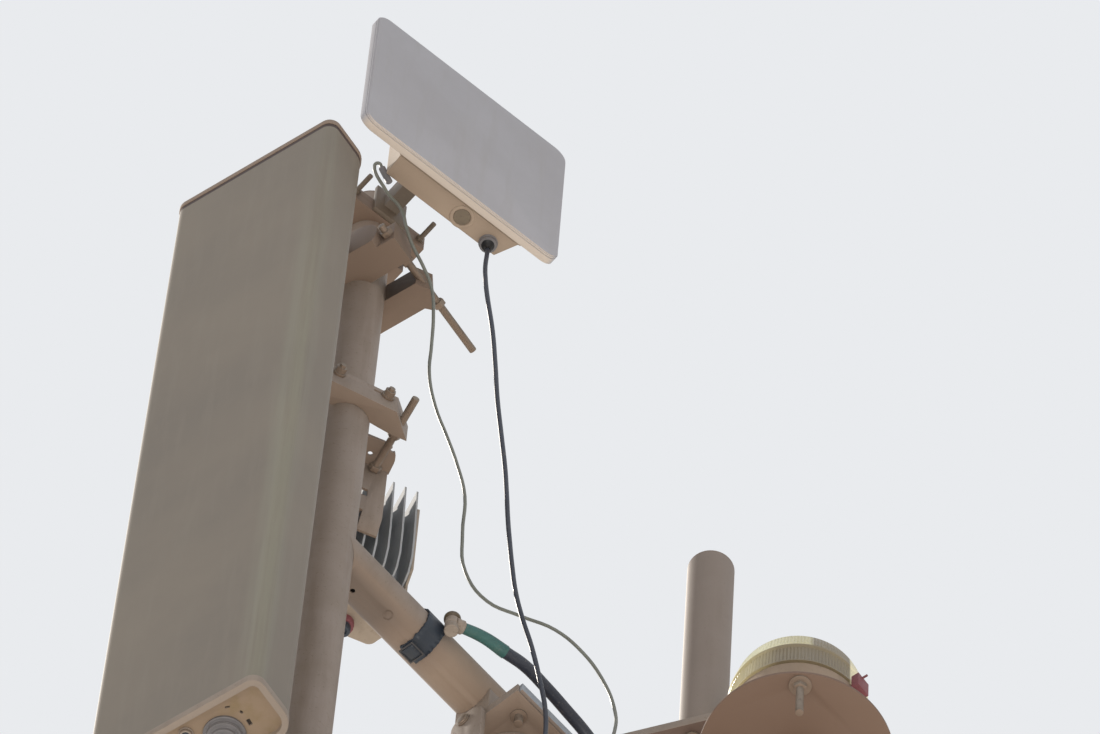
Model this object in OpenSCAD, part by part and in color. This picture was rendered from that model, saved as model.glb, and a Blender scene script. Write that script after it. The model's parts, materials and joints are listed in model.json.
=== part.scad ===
// Head of a cell tower: a short bolted mast that carries an arm with a sector antenna,
// a flat link radio and a finned radio unit, and on its other side a bare pole and a beacon.
// The origin is on the mast's axis at the underside of its base flange, and the arm runs along -Y.

/* [Mast] */
// Height of the arm's axis above the underside of the base flange
arm_z = 1200; // [1100:5:1400]
// Outside diameter of the mast tube
mast_d = 114.3; // [101.6:0.1:127]
// Wall of the mast tube
mast_wall = 6; // [4:0.5:10]
// Diameter of the base flange
base_d = 260; // [250:1:300]
// Thickness of the base flange
base_t = 16; // [12:1:25]
// Number of bolt holes in the base flange
base_holes = 8; // [4:4:12]
// Diameter of the bolt holes in the base flange
base_hole_d = 18; // [14:1:20]
// Pitch circle of the bolt holes in the base flange
base_pcd = 215; // [205:1:225]
// Thickness of the base gussets
gusset_t = 8; // [6:1:12]
// Height of the base gussets
gusset_h = 90; // [60:1:140]
// Reach of the base gussets from the mast tube
gusset_reach = 52; // [35:1:58]

/* [Head] */
// Side of the square head plate and of the mast's top flange
head_w = 186; // [176:1:210]
// Thickness of the head plate
head_t = 10; // [8:1:14]
// Thickness of the mast's top flange
top_flange_t = 10; // [8:1:14]
// Spacing of the head bolts along the arm
head_bolt_pitch = 116; // [112:1:124]
// Spacing of the head bolts across the arm
head_bolt_gauge = 130; // [124:1:136]
// Diameter of the head bolts
head_bolt_d = 14; // [12:1:16]
// Height of the saddles between the head plate and the arm
saddle_h = 34; // [28:1:45]
// Thickness of the pale side bars of the head plate
side_bar_t = 6; // [4:1:8]
// Height of the pale side bars of the head plate
side_bar_h = 19; // [14:1:30]
// Width of the strap plate at the front of the head
strap_plate_w = 62; // [52:1:70]
// Depth of the strap plate's foot below the arm's axis
strap_plate_drop = 200; // [185:1:230]
// Depth of the strap plate's top below the arm's axis
strap_plate_top = 66; // [60:1:70]

/* [Arm and antenna pole] */
// Distance from the mast's axis to the antenna pole's axis
arm_len = 420; // [400:1:440]
// Outside diameter of the arm and of the antenna pole
pole_d = 76.1; // [70:0.1:80]
// Wall of the arm and of the poles
pole_wall = 3.6; // [2.9:0.1:5]
// Height of the antenna pole above the arm's axis
pole_up = 1125; // [1100:5:1200]
// Length of the antenna pole below the arm's axis
pole_down = 960; // [930:5:1000]

/* [Sector antenna] */
// Width of the antenna
antenna_w = 298; // [280:1:310]
// Depth of the antenna
antenna_depth = 98; // [92:1:108]
// Length of the antenna with its caps
antenna_len = 1791; // [1740:1:1800]
// Underside of the antenna below the arm's axis
antenna_drop = 925; // [900:1:940]
// Distance from the antenna pole's axis to the antenna's front
antenna_front = 272; // [268:1:278]
// Offset of the antenna's middle to the side of the pole
antenna_shift = -20; // [-25:1:10]
// Turn of the antenna about its pole
antenna_turn = 7.7; // [0:0.1:15]
// Height of each antenna cap
antenna_cap_h = 16; // [12:1:20]
// Width of the rim of the bottom cap
antenna_rim = 8; // [6:1:9]
// Distance from the antenna's top down to the upper clamp's underside
clamp_inset_top = 57; // [50:1:80]
// Distance from the antenna's bottom up to the lower clamp's underside
clamp_inset_low = 75; // [70:1:100]
// Height of the antenna clamps
clamp_h = 55; // [50:1:60]
// Diameter of the antenna clamps' rods
clamp_rod_d = 12; // [10:1:14]

/* [Link radio] */
// Width of the link radio's panel
link_w = 390; // [370:1:400]
// Height of the link radio's panel
link_h = 378; // [360:1:390]
// Thickness of the link radio's panel
link_t = 17; // [14:1:20]
// Distance from the pole's axis to the face of the link radio
link_reach = 235; // [230:1:245]
// Underside of the link radio's panel above the arm's axis
link_up = 867; // [860:1:880]
// Depth of the link radio's housing
link_housing_depth = 45; // [40:1:50]
// Turn of the link radio's face about the pole
link_turn = -9; // [-15:0.5:0]
// Height of the middle of the link radio's pole clamp above the arm's axis
link_clamp_up = 1040; // [1030:1:1050]

/* [Finned radio] */
// Width of the finned radio
radio_w = 330; // [327:1:345]
// Depth of the finned radio's body behind its fins
radio_body_depth = 40; // [30:1:60]
// Spacing of the fins
fin_pitch = 19.8; // [18:0.1:19.8]
// Number of fins
fin_count = 17; // [9:2:17]
// Thickness of a fin
fin_t = 3; // [2:0.1:5]
// Turn of the finned radio about the pole
radio_turn = -25; // [-27:0.5:-23]
// Turn of the radio's pole clamp about the pole
radio_clamp_turn = -21; // [-23:0.5:-19]
// Underside of the finned radio above the arm's axis
radio_up = 118; // [105:1:125]
// Underside of the finned radio's pole clamp above the arm's axis
radio_clamp_up = 395; // [390:1:400]

/* [Side pole and beacon] */
// Direction of the side bar about the mast
side_turn = 24.5; // [22:0.5:30]
// Width of the side bar
bar_w = 84; // [76:1:90]
// Thickness of the side bar
bar_t = 20; // [15:1:25]
// Reach of the side bar from the mast's axis
bar_len = 335; // [325:1:338]
// Depth of the side bar's top below the arm's axis
bar_drop = 151; // [140:1:165]
// Distance from the mast's axis to the side pole's axis
side_pole_r = 299.5; // [296:0.5:301]
// Outside diameter of the side pole
side_pole_d = 73; // [70:1:75]
// Height of the side pole's top above the arm's axis
side_pole_up = 370; // [300:5:450]
// Distance from the mast's axis to the beacon's axis
beacon_r = 452; // [451:1:470]
// Direction of the beacon about the mast
beacon_turn = 22.2; // [21:0.1:23]
// Diameter of the beacon's plate
beacon_plate_d = 290; // [280:1:310]
// Thickness of the beacon's plate
beacon_plate_t = 6; // [5:1:10]
// Depth of the top of the beacon's plate below the arm's axis
beacon_drop = 303; // [298:1:320]
// Diameter of the beacon's base
beacon_d = 210; // [200:1:212]
// Height of the beacon's base
beacon_base_h = 102; // [90:1:110]
// Height of the beacon's lens
beacon_lens_h = 101; // [90:1:120]
// Diameter of the pipes under the beacon
beacon_pipe_d = 60.3; // [50:0.1:65]

/* [Cables] */
// Diameter of the thin cable from the link radio's back
cable_a_d = 5.5; // [5:0.5:7]
// Diameter of the cable from the link radio's underside
cable_b_d = 7.5; // [6:0.5:9]
// Diameter of the coaxial cable along the arm
coax_d = 19.5; // [16:0.5:20]
// Diameter of the green sleeve on the coaxial cable
sleeve_d = 21.5; // [20.5:0.5:24]

/* [Hidden] */
$fn = 64;

// Gap left between curved faces that meet
fit = 0.3;
mast_r = mast_d / 2;
pole_r = pole_d / 2;
side_pole_rad = side_pole_d / 2;

// Levels above the underside of the base flange
head_top = arm_z - pole_r - saddle_h;
head_mid = head_top - head_t;
head_bottom = head_mid - top_flange_t;

// Washers, nuts and plain bolts
washer_t = 3;
nut_t = 9;
bolt_gap = 0.5;

// Antenna outline in the antenna's own turned frame, front towards -Y
antenna_front_r = 18;
antenna_back_r = 30;
antenna_base = arm_z - antenna_drop;
antenna_top = antenna_base + antenna_len;
clamp_up = antenna_top - clamp_inset_top - arm_z;
clamp_down = antenna_drop - clamp_inset_low;

// Clamp halves of the antenna, seen from above with the pole's axis at the origin
near_out = 66;
near_in = 19;
near_w = 216;
near_hump_r = 48;
near_hump_x = 36;
near_hump_out = 80;
far_in = 19;
far_out = 64;
far_nut = 72;
rod_x = 96;
rod_z = 21;
rod_back = 175;
tongue_w = 44;
tongue_out = 118;
ear_t = 6;
pivot_d = 12;
pivot_out = 106;

// Link radio, with X out of its face
link_mid = 11;
link_lip_t = 5;
link_back = link_reach - link_t;
housing_back = link_back - link_housing_depth;
link_clamp_h = 40;
link_clamp_w = 152;
link_clamp_out = 48;
link_rod_y = 65;
link_rod_d = 8;
link_rod_out = 87;
gland_len = 26;

// Finned radio, with X out of its fins
fin_root = -146;
fin_base_t = 4;
fin_span = (fin_count - 1) * fin_pitch;
body_front = fin_root - fin_base_t;
body_back = body_front - radio_body_depth;
radio_top = radio_clamp_up + 67;
radio_side_taper = 14;
radio_corner_taper = 23;
radio_corner_depth = 18;
cheek_t = 4;
cheek_out = -90;
floor_out = -109;
floor_lip = 74;
shell_short = 60;
fin_low = 72;
fin_tip = -83;
sheet_x = -66;
sheet_t = 4;
sheet_w = 194;
radio_clamp_h = 48;
radio_rod_y = 78;
radio_rod_z = 17;
radio_rod_d = 12;
radio_rod_out = 86;

// Side pole and beacon
collar_t = 8;
collar_h = 70;
beacon_arm_drop = 470;
beacon_bolt_turn = -69;
beacon_bolt_r = 125;
beacon_bolt_d = 12;
beacon_bolt_hang = 82;

// Coaxial cable's fitting beside the arm
strap_y = -222;
strap_band_w = 36;
strap_t = 3.5;
// The band covers the arm from the first to the last of these directions, 0 up and 90 towards +X
strap_from = -60;
strap_to = 202;
fitting_d = 22;
fitting_lid_d = 26;
fitting_x = pole_r + fit + strap_t + 0.5 + fitting_lid_d / 2;
fitting_y = -205;

// Cable routes, as points above the arm's axis level in Z
cable_a_route = [
  [149, -545, 902], [148, -549, 908], [143, -552, 909], [139, -550, 903], [137, -544, 895],
  [135, -533, 891], [133, -521, 890], [130, -508, 890], [128, -496, 893], [127, -484, 897],
  [126, -473, 895], [126, -465, 885], [125, -458, 866], [124, -448, 845], [122, -432, 825],
  [121, -408, 803], [118, -381, 770], [107, -360, 720], [92, -343, 660], [80, -330, 600],
  [76, -306, 530], [81, -278, 460], [83, -256, 410], [81, -229, 340], [66, -212, 265],
  [56, -188, 185], [70, -150, 130], [104, -110, 100], [140, -71, 70], [162, -30, 30],
  [174, 4, -20], [181, 26, -85], [183, 28, -150], [175, 18, -215], [156, 0, -275],
  [132, -14, -322], [116, -20, -354], [112, -20, -372], [112, -20, -384]
];
cable_b_route = [
  [198, -345, 853], [198, -345, 838], [195, -343, 800], [193, -337, 760], [192, -329, 720],
  [189, -308, 640], [182, -288, 560], [176, -271, 480], [169, -249, 405], [162, -227, 330],
  [156, -213, 275], [151, -201, 220], [145, -187, 175], [139, -172, 130], [134, -154, 75],
  [131, -133, 30], [126, -104, -10], [119, -75, -60], [112, -50, -115], [104, -38, -170],
  [97, -36, -230], [92, -38, -300], [90, -38, -360], [90, -38, -384]
];
sleeve_route = [[60, -198, 0], [75, -155, 5], [83, -115, 5]];
coax_route = [
  [83, -115, 5], [90, -80, 5], [91, -35, 3], [90, 15, -1], [89, 64, -8], [88, 105, -26],
  [86, 138, -58], [80, 158, -102], [70, 164, -152], [56, 156, -202], [42, 138, -252],
  [28, 115, -304], [19, 99, -345], [17, 96, -368], [17, 96, -384]
];
cable_clamp_drop = 380;
cable_clamp_h = 40;
cord_sides = 10;

function unit(v) = v / norm(v);
function arc(c, r, a0, a1, steps = 8) =
  [for (i = [0 : steps]) c + r * [cos(a0 + (a1 - a0) * i / steps), sin(a0 + (a1 - a0) * i / steps)]];
function mirror_x(points) = [for (i = [len(points) - 1 : -1 : 0]) [-points[i][0], points[i][1]]];

// Direction of a route at one of its points
function heading(route, i) =
  unit(route[min(i + 1, len(route) - 1)] - route[max(i - 1, 0)]);
function ring(c, t, r) =
  let (u = unit(cross(t, [1, 0, 0])), v = cross(t, u))
  [for (k = [0 : cord_sides - 1]) c + r * (cos(360 * k / cord_sides) * u + sin(360 * k / cord_sides) * v)];

// Closed tube along a route
module cord(route, d) {
  n = cord_sides;
  last = len(route) - 1;
  points = [for (i = [0 : last]) each ring(route[i], heading(route, i), d / 2)];
  sides = [for (i = [0 : last - 1]) for (k = [0 : n - 1])
    [i * n + k, i * n + (k + 1) % n, (i + 1) * n + (k + 1) % n, (i + 1) * n + k]];
  start = [for (k = [n - 1 : -1 : 0]) k];
  end = [for (k = [0 : n - 1]) last * n + k];
  translate([0, 0, arm_z]) polyhedron(points = points, faces = concat([start], sides, [end]));
}

module hex(d, h) {
  cylinder(d = d, h = h, $fn = 6);
}

module tube(d, wall, h) {
  difference() {
    cylinder(d = d, h = h);
    translate([0, 0, -1]) cylinder(d = d - 2 * wall, h = h + 2);
  }
}

// A rod along Y with a nut at each place in the list
module nutted_rod(d, y0, y1, nuts) {
  union() {
    translate([0, y0, 0]) rotate([-90, 0, 0]) cylinder(d = d, h = y1 - y0);
    for (y = nuts) translate([0, y, 0]) rotate([-90, 0, 0]) hex(1.8 * d, 0.8 * d);
  }
}

module around_pole(turn) {
  translate([0, -arm_len, arm_z]) rotate([0, 0, turn]) children();
}

module mirrored_x() {
  children();
  mirror([1, 0, 0]) children();
}

module mirrored_y() {
  children();
  mirror([0, 1, 0]) children();
}

// Mast

module base_flange() {
  color("gray") difference() {
    cylinder(d = base_d, h = base_t);
    for (i = [0 : base_holes - 1])
      rotate([0, 0, i * 360 / base_holes]) translate([base_pcd / 2, 0, -1])
        cylinder(d = base_hole_d, h = base_t + 2);
  }
}

module base_gussets() {
  color("gray") for (i = [0 : base_holes / 2 - 1])
    rotate([0, 0, (2 * i + 0.5) * 360 / base_holes])
      translate([mast_r + fit, gusset_t / 2, base_t]) rotate([90, 0, 0])
        linear_extrude(gusset_t)
          polygon([[0, 0], [gusset_reach, 0], [gusset_reach, 12], [10, gusset_h], [0, gusset_h]]);
}

module mast_tube() {
  color("tan") translate([0, 0, base_t]) tube(mast_d, mast_wall, head_bottom - base_t);
}

module head_square(z, t) {
  difference() {
    translate([-head_w / 2, -head_w / 2, z]) cube([head_w, head_w, t]);
    for (x = [-1, 1], y = [-1, 1])
      translate([x * head_bolt_gauge / 2, y * head_bolt_pitch / 2, z - 1])
        cylinder(d = head_bolt_d + 1, h = t + 2);
  }
}

module mast_top_flange() {
  color("tan") head_square(head_bottom, top_flange_t);
}

module head_plate() {
  color("tan") head_square(head_mid, head_t);
}

side_bar_inset = 4;
module head_side_bars() {
  color("lightsteelblue") mirrored_x()
    translate([head_w / 2, -head_w / 2 + side_bar_inset, head_bottom + 2])
      cube([side_bar_t, head_w - 2 * side_bar_inset, side_bar_h]);
}

module head_bolts() {
  color("tan") for (x = [-1, 1], y = [-1, 1])
    translate([x * head_bolt_gauge / 2, y * head_bolt_pitch / 2, 0]) union() {
      translate([0, 0, head_bottom - washer_t]) cylinder(d = 26, h = washer_t);
      translate([0, 0, head_bottom - washer_t - 20]) cylinder(d = head_bolt_d, h = head_top - head_bottom + 38);
      translate([0, 0, head_top]) cylinder(d = 26, h = washer_t);
      translate([0, 0, head_top + washer_t]) hex(24, nut_t);
    }
}

saddle_w = 68;
saddle_len = 58;
module arm_saddles() {
  color("tan") mirrored_y() difference() {
    translate([-saddle_w / 2, -head_w / 2, head_top]) cube([saddle_w, saddle_len, saddle_h + 20]);
    translate([0, -head_w / 2 - 1, arm_z]) rotate([-90, 0, 0])
      cylinder(r = pole_r + fit, h = saddle_len + 2);
  }
}

// Arm

arm_tail = head_w / 2;
drain_d = 8;
drain_y = -357;
drain_turn = 189;
module arm_tube() {
  color("tan") difference() {
    translate([0, -arm_len, arm_z]) rotate([-90, 0, 0]) cylinder(r = pole_r, h = arm_len + arm_tail);
    translate([0, -arm_len - 1, arm_z]) rotate([-90, 0, 0])
      cylinder(r = pole_r - pole_wall, h = arm_len + arm_tail + 2);
    around_pole(0) translate([0, 0, -100]) cylinder(r = pole_r + fit, h = 200);
    translate([0, drain_y, arm_z]) rotate([0, drain_turn, 0]) cylinder(d = drain_d, h = pole_r + 5);
  }
}

module arm_end_cap() {
  color("dimgray") translate([0, arm_tail, arm_z]) rotate([-90, 0, 0]) union() {
    cylinder(r = pole_r, h = 4);
    translate([0, 0, -14]) cylinder(r = pole_r - pole_wall - fit, h = 14.5);
  }
}

strap_plate_t = 10;
strap_corner_r = 26;
strap_bolt_x = -6;
strap_bolt_d = 10;
strap_bolt_z = head_bottom + 7;
strap_foot_z = arm_z - strap_plate_drop;
strap_face = -head_w / 2 - strap_plate_t;
lug_w = 40;
lug_h = 44;
module arm_strap_plate() {
  w = strap_plate_w / 2;
  r = strap_corner_r;
  top = arm_z - strap_plate_top;
  color("darkgray") difference() {
    translate([0, -head_w / 2, 0]) rotate([90, 0, 0]) linear_extrude(strap_plate_t)
      polygon(concat([[-w, strap_foot_z], [w, strap_foot_z]],
                     arc([w - r, top - r], r, 0, 90), arc([-w + r, top - r], r, 90, 180)));
    translate([strap_bolt_x, strap_face - 1, strap_bolt_z]) rotate([-90, 0, 0])
      cylinder(d = strap_bolt_d + bolt_gap, h = strap_plate_t + 2);
    translate([0, strap_face - 1, strap_foot_z + lug_h / 2]) rotate([-90, 0, 0])
      cylinder(d = strap_bolt_d + bolt_gap, h = strap_plate_t + 2);
  }
}

module strap_bolt(depth) {
  union() {
    translate([0, strap_face, 0]) rotate([-90, 0, 0]) cylinder(d = strap_bolt_d, h = depth);
    translate([0, strap_face - 2.5, 0]) rotate([-90, 0, 0]) cylinder(d = 24, h = 2.5);
    translate([0, strap_face - 5, 0]) rotate([-90, 0, 0]) cylinder(d = 19, h = 3);
  }
}

// The upper bolt is screwed into the plate, and the lower one goes on into the lug
module arm_strap_bolts() {
  color("silver") {
    translate([strap_bolt_x, 0, strap_bolt_z]) strap_bolt(strap_plate_t);
    translate([0, 0, strap_foot_z + lug_h / 2]) strap_bolt(38);
  }
}

module mast_lug() {
  color("tan") difference() {
    translate([-lug_w / 2, -head_w / 2, strap_foot_z]) cube([lug_w, head_w / 2, lug_h]);
    translate([0, 0, strap_foot_z - 1]) cylinder(r = mast_r + fit, h = lug_h + 2);
    translate([0, -head_w / 2 - 1, strap_foot_z + lug_h / 2]) rotate([-90, 0, 0])
      cylinder(d = strap_bolt_d + bolt_gap, h = 31);
  }
}

// Antenna pole

module antenna_pole() {
  color("tan") around_pole(0) translate([0, 0, -pole_down]) tube(pole_d, pole_wall, pole_up + pole_down);
}

module pole_plug(r, wall) {
  union() {
    cylinder(r = r, h = 4);
    translate([0, 0, -16]) cylinder(r = r - wall - fit, h = 16.5);
  }
}

module pole_caps() {
  color("dimgray") {
    around_pole(0) translate([0, 0, pole_up]) pole_plug(pole_r, pole_wall);
    around_pole(0) translate([0, 0, -pole_down]) mirror([0, 0, 1]) pole_plug(pole_r, pole_wall);
    at_side_pole() translate([0, 0, side_pole_up + bar_drop]) pole_plug(side_pole_rad, pole_wall);
  }
}

// Sector antenna

// Outline of the antenna, grown or shrunk all round by g
function antenna_outline(g) =
  let (x = antenna_w / 2 + g, f = -antenna_front - g, b = -antenna_front + antenna_depth + g,
       rf = antenna_front_r + g, rb = antenna_back_r + g)
  concat(
    arc([-x + rf, f + rf], rf, 180, 270), arc([x - rf, f + rf], rf, 270, 360),
    arc([x - rb, b - rb], rb, 0, 90), arc([-x + rb, b - rb], rb, 90, 180));

module antenna_slice(g, z0, z1) {
  around_pole(antenna_turn) translate([antenna_shift, 0, z0 - arm_z]) linear_extrude(z1 - z0)
    polygon(antenna_outline(g));
}

cap_grow = 1.5;
cap_floor_t = 4;
module antenna_body() {
  color("lightgray") antenna_slice(0, antenna_base + antenna_cap_h, antenna_top - antenna_cap_h);
}

module antenna_top_cap() {
  color("silver") union() {
    antenna_slice(cap_grow, antenna_top - antenna_cap_h, antenna_top - 4);
    antenna_slice(cap_grow - 4, antenna_top - 5, antenna_top);
  }
}

module antenna_bottom_cap() {
  color("wheat") difference() {
    antenna_slice(cap_grow, antenna_base, antenna_base + antenna_cap_h);
    antenna_slice(-antenna_rim, antenna_base - 1, antenna_base + antenna_cap_h - cap_floor_t);
  }
}

// Connectors under the bottom cap: two ribbed collars and a small ringed port between them
collar_x = 55;
collar_y = -antenna_front + antenna_depth - antenna_rim - 32;
port_x = 10;
port_y = -antenna_front + antenna_rim + 20;
module antenna_connectors() {
  floor_z = antenna_base - arm_z + antenna_cap_h - cap_floor_t;
  color("slategray") around_pole(antenna_turn) translate([antenna_shift, 0, floor_z]) {
    for (x = [-collar_x, collar_x]) translate([x, collar_y, 0]) mirror([0, 0, 1]) union() {
      cylinder(r = 31, h = 5);
      cylinder(r = 26, h = 14);
      cylinder(r = 20, h = 22);
      cylinder(r = 12, h = 34);
    }
    translate([port_x, port_y, 0]) mirror([0, 0, 1]) difference() {
      cylinder(r = 9.5, h = 8);
      translate([0, 0, 2]) cylinder(r = 6.5, h = 7);
    }
  }
}

// One antenna mount is drawn with its clamp's underside at z = 0
module at_antenna_clamps() {
  around_pole(antenna_turn) {
    translate([0, 0, clamp_up]) children();
    translate([0, 0, -clamp_down]) children();
  }
}

module antenna_brackets() {
  back = -antenna_front + antenna_depth;
  plate_t = 6;
  ear_in = tongue_w / 2 + fit;
  color("darkgray") at_antenna_clamps() difference() {
    union() {
      translate([-45, back, -56]) cube([90, plate_t, 94]);
      for (s = [-1, 1]) translate([s * (ear_in + ear_t / 2) - ear_t / 2, back, -8])
        cube([ear_t, -pivot_out + 14 - back, clamp_h - 10]);
    }
    translate([-60, -pivot_out, clamp_h / 2]) rotate([0, 90, 0]) cylinder(d = pivot_d + bolt_gap, h = 120);
  }
}

module antenna_clamps_near() {
  color("tan") at_antenna_clamps() difference() {
    union() {
      translate([-near_w / 2, -near_out, 0]) cube([near_w, near_out - near_in, clamp_h]);
      intersection() {
        translate([0, -near_hump_out, clamp_h / 2]) rotate([-90, 0, 0]) mirrored_x()
          translate([near_hump_x, 0, 0]) cylinder(r = near_hump_r, h = near_hump_out - 40);
        translate([-near_w / 2, -near_hump_out - 1, 0]) cube([near_w, near_hump_out, 2 * clamp_h]);
      }
      translate([-tongue_w / 2, -pivot_out, 5]) cube([tongue_w, pivot_out - near_out + 1, clamp_h - 10]);
      translate([-tongue_w / 2, -pivot_out, clamp_h / 2]) rotate([0, 90, 0])
        cylinder(d = clamp_h - 10, h = tongue_w);
    }
    translate([0, 0, -1]) cylinder(r = pole_r + fit, h = 2 * clamp_h + 2);
    translate([-60, -pivot_out, clamp_h / 2]) rotate([0, 90, 0]) cylinder(d = pivot_d + bolt_gap, h = 120);
    mirrored_x() translate([rod_x, -near_out - 1, rod_z]) rotate([-90, 0, 0])
      cylinder(d = clamp_rod_d + bolt_gap, h = near_out);
  }
}

module antenna_clamps_far() {
  right = [[92, far_in], [106, 42], [88, 72], [80, far_out]];
  color("tan") at_antenna_clamps() difference() {
    linear_extrude(clamp_h) polygon(concat(right, mirror_x(right)));
    translate([0, 0, -1]) cylinder(r = pole_r + fit, h = clamp_h + 2);
    mirrored_x() translate([rod_x, 0, rod_z]) rotate([-90, 0, 0])
      cylinder(d = clamp_rod_d + bolt_gap, h = 100);
  }
}

module antenna_clamp_rods() {
  color("peru") at_antenna_clamps() {
    mirrored_x() translate([rod_x, 0, rod_z])
      nutted_rod(clamp_rod_d, -near_out - 20, rod_back, [-near_out - 0.8 * clamp_rod_d, -near_in, far_nut]);
    translate([-tongue_w / 2 - ear_t - fit, -pivot_out, clamp_h / 2]) rotate([0, 90, 0]) union() {
      translate([0, 0, -16]) cylinder(d = pivot_d, h = tongue_w + 2 * ear_t + 2 * fit + 30);
      translate([0, 0, -9]) hex(21, 9);
      translate([0, 0, tongue_w + 2 * ear_t + 2 * fit]) hex(21, 9);
    }
  }
}

// Link radio, drawn with X out of its face and Y to its side

link_corner_r = 25;
module link_outline(g) {
  y0 = link_mid - link_w / 2 - g;
  y1 = link_mid + link_w / 2 + g;
  z0 = link_up - g;
  z1 = link_up + link_h + g;
  r = link_corner_r + g;
  polygon(concat(
    arc([y0 + r, z0 + r], r, 180, 270), arc([y1 - r, z0 + r], r, 270, 360),
    arc([y1 - r, z1 - r], r, 0, 90), arc([y0 + r, z1 - r], r, 90, 180)));
}

module along_link(x0, x1) {
  around_pole(link_turn) translate([x0, 0, 0]) rotate([90, 0, 90]) linear_extrude(x1 - x0) children();
}

module link_panel() {
  color("gainsboro") union() {
    along_link(link_back, link_back + 11.5) link_outline(0);
    along_link(link_back + 11, link_back + 13.5) link_outline(-1.5);
    along_link(link_back + 13, link_reach - 2) link_outline(0);
    along_link(link_reach - 2.5, link_reach) link_outline(-2);
  }
}

housing_front_y = [-97, 144];
housing_back_y = [-94, 126];
housing_z = [10, 358];
module link_housing() {
  z0 = link_up + housing_z[0];
  z1 = link_up + housing_z[1];
  x1 = link_back - link_lip_t;
  color("tan") around_pole(link_turn) difference() {
    union() {
      polyhedron(
        points = [
          [x1 + 1, housing_front_y[0], z0], [x1 + 1, housing_front_y[1], z0],
          [x1 + 1, housing_front_y[1], z1], [x1 + 1, housing_front_y[0], z1],
          [housing_back, housing_back_y[0], z0], [housing_back, housing_back_y[1], z0],
          [housing_back, housing_back_y[1], z1 - 12], [housing_back, housing_back_y[0], z1 - 12]],
        faces = [[0, 3, 2, 1], [4, 5, 6, 7], [0, 1, 5, 4], [1, 2, 6, 5], [2, 3, 7, 6], [3, 0, 4, 7]]);
      translate([x1, housing_front_y[0] - 3, z0 - 2])
        cube([link_lip_t, housing_front_y[1] - housing_front_y[0] + 6, z1 - z0 + 4]);
    }
    translate([plug_x, plug_y, z0 - 3]) cylinder(d = 29, h = 6);
  }
}

plug_x = 192;
plug_y = 45;
module link_plug() {
  color("rosybrown") around_pole(link_turn)
    translate([plug_x, plug_y, link_up + housing_z[0] - 0.5]) cylinder(d = 28, h = 3.5);
}

// Where each cable leaves its gland
cable_a_exit = cable_a_route[0];
cable_b_exit = cable_b_route[0];
module link_gland() {
  top = link_up + housing_z[0];
  color("black") translate([cable_b_exit[0], cable_b_exit[1], arm_z]) difference() {
    union() {
      translate([0, 0, top - 9]) cylinder(d = 30, h = 9);
      translate([0, 0, top - 25]) cylinder(d1 = 14, d2 = 18, h = 17);
    }
    translate([0, 0, top - 26]) cylinder(d = cable_b_d + 1, h = 20);
  }
}

// Sleeve of the thin cable, against the housing's back and leaning outwards
back_gland_y = -82.2;
back_gland_up = 870.3;
back_gland_lean = 32;
back_gland_d = 11;
back_gland_len = 31;
module link_back_gland() {
  color("darkslategray") around_pole(link_turn)
    translate([housing_back - fit - back_gland_d / 2, back_gland_y, back_gland_up])
      rotate([back_gland_lean, 0, 0]) difference() {
        cylinder(d = back_gland_d, h = back_gland_len);
        translate([0, 0, back_gland_len - 6]) cylinder(d = cable_a_d + 1, h = 8);
      }
}

// Yoke on the housing's back, and the bracket that joins it to the pole clamp
yoke_w = 110;
yoke_h = 110;
yoke_t = 8;
yoke_ear_out = 118;
link_tongue_w = 26;
link_pivot_x = 130;
link_pivot_d = 10;
module link_pivot_hole() {
  translate([link_pivot_x, -50, link_clamp_up + 30]) rotate([-90, 0, 0])
    cylinder(d = link_pivot_d + bolt_gap, h = 100);
}

module link_yoke() {
  ear_in = link_tongue_w / 2 + fit;
  color("dimgray") around_pole(link_turn) difference() {
    union() {
      translate([housing_back - yoke_t, -yoke_w / 2, link_clamp_up - 30]) cube([yoke_t, yoke_w, yoke_h]);
      for (s = [-1, 1]) translate([yoke_ear_out, s * (ear_in + 4) - 4, link_clamp_up + 5])
        cube([housing_back - yoke_ear_out - 1, 8, 50]);
    }
    link_pivot_hole();
  }
}

module link_bracket() {
  color("dimgray") around_pole(link_turn) difference() {
    union() {
      translate([link_clamp_out, -30, link_clamp_up - 18]) cube([8, 60, 78]);
      translate([link_clamp_out + 7, -link_tongue_w / 2, link_clamp_up + 8])
        cube([link_pivot_x - link_clamp_out - 7, link_tongue_w, 44]);
      translate([link_pivot_x, -link_tongue_w / 2, link_clamp_up + 30]) rotate([-90, 0, 0])
        cylinder(d = 44, h = link_tongue_w);
    }
    link_pivot_hole();
  }
}

// One half of the link's pole clamp, on the side of +X
module link_clamp_half() {
  difference() {
    translate([4, -link_clamp_w / 2, link_clamp_up - link_clamp_h / 2])
      cube([link_clamp_out - 4, link_clamp_w, link_clamp_h]);
    translate([0, 0, link_clamp_up - link_clamp_h]) cylinder(r = pole_r + fit, h = 2 * link_clamp_h);
    mirrored_y() translate([0, link_rod_y, link_clamp_up]) rotate([0, 90, 0])
      cylinder(d = link_rod_d + bolt_gap, h = 60);
  }
}

module link_clamp_front() {
  color("tan") around_pole(link_turn) link_clamp_half();
}

module link_clamp_back() {
  color("tan") around_pole(link_turn) mirror([1, 0, 0]) link_clamp_half();
}

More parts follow.
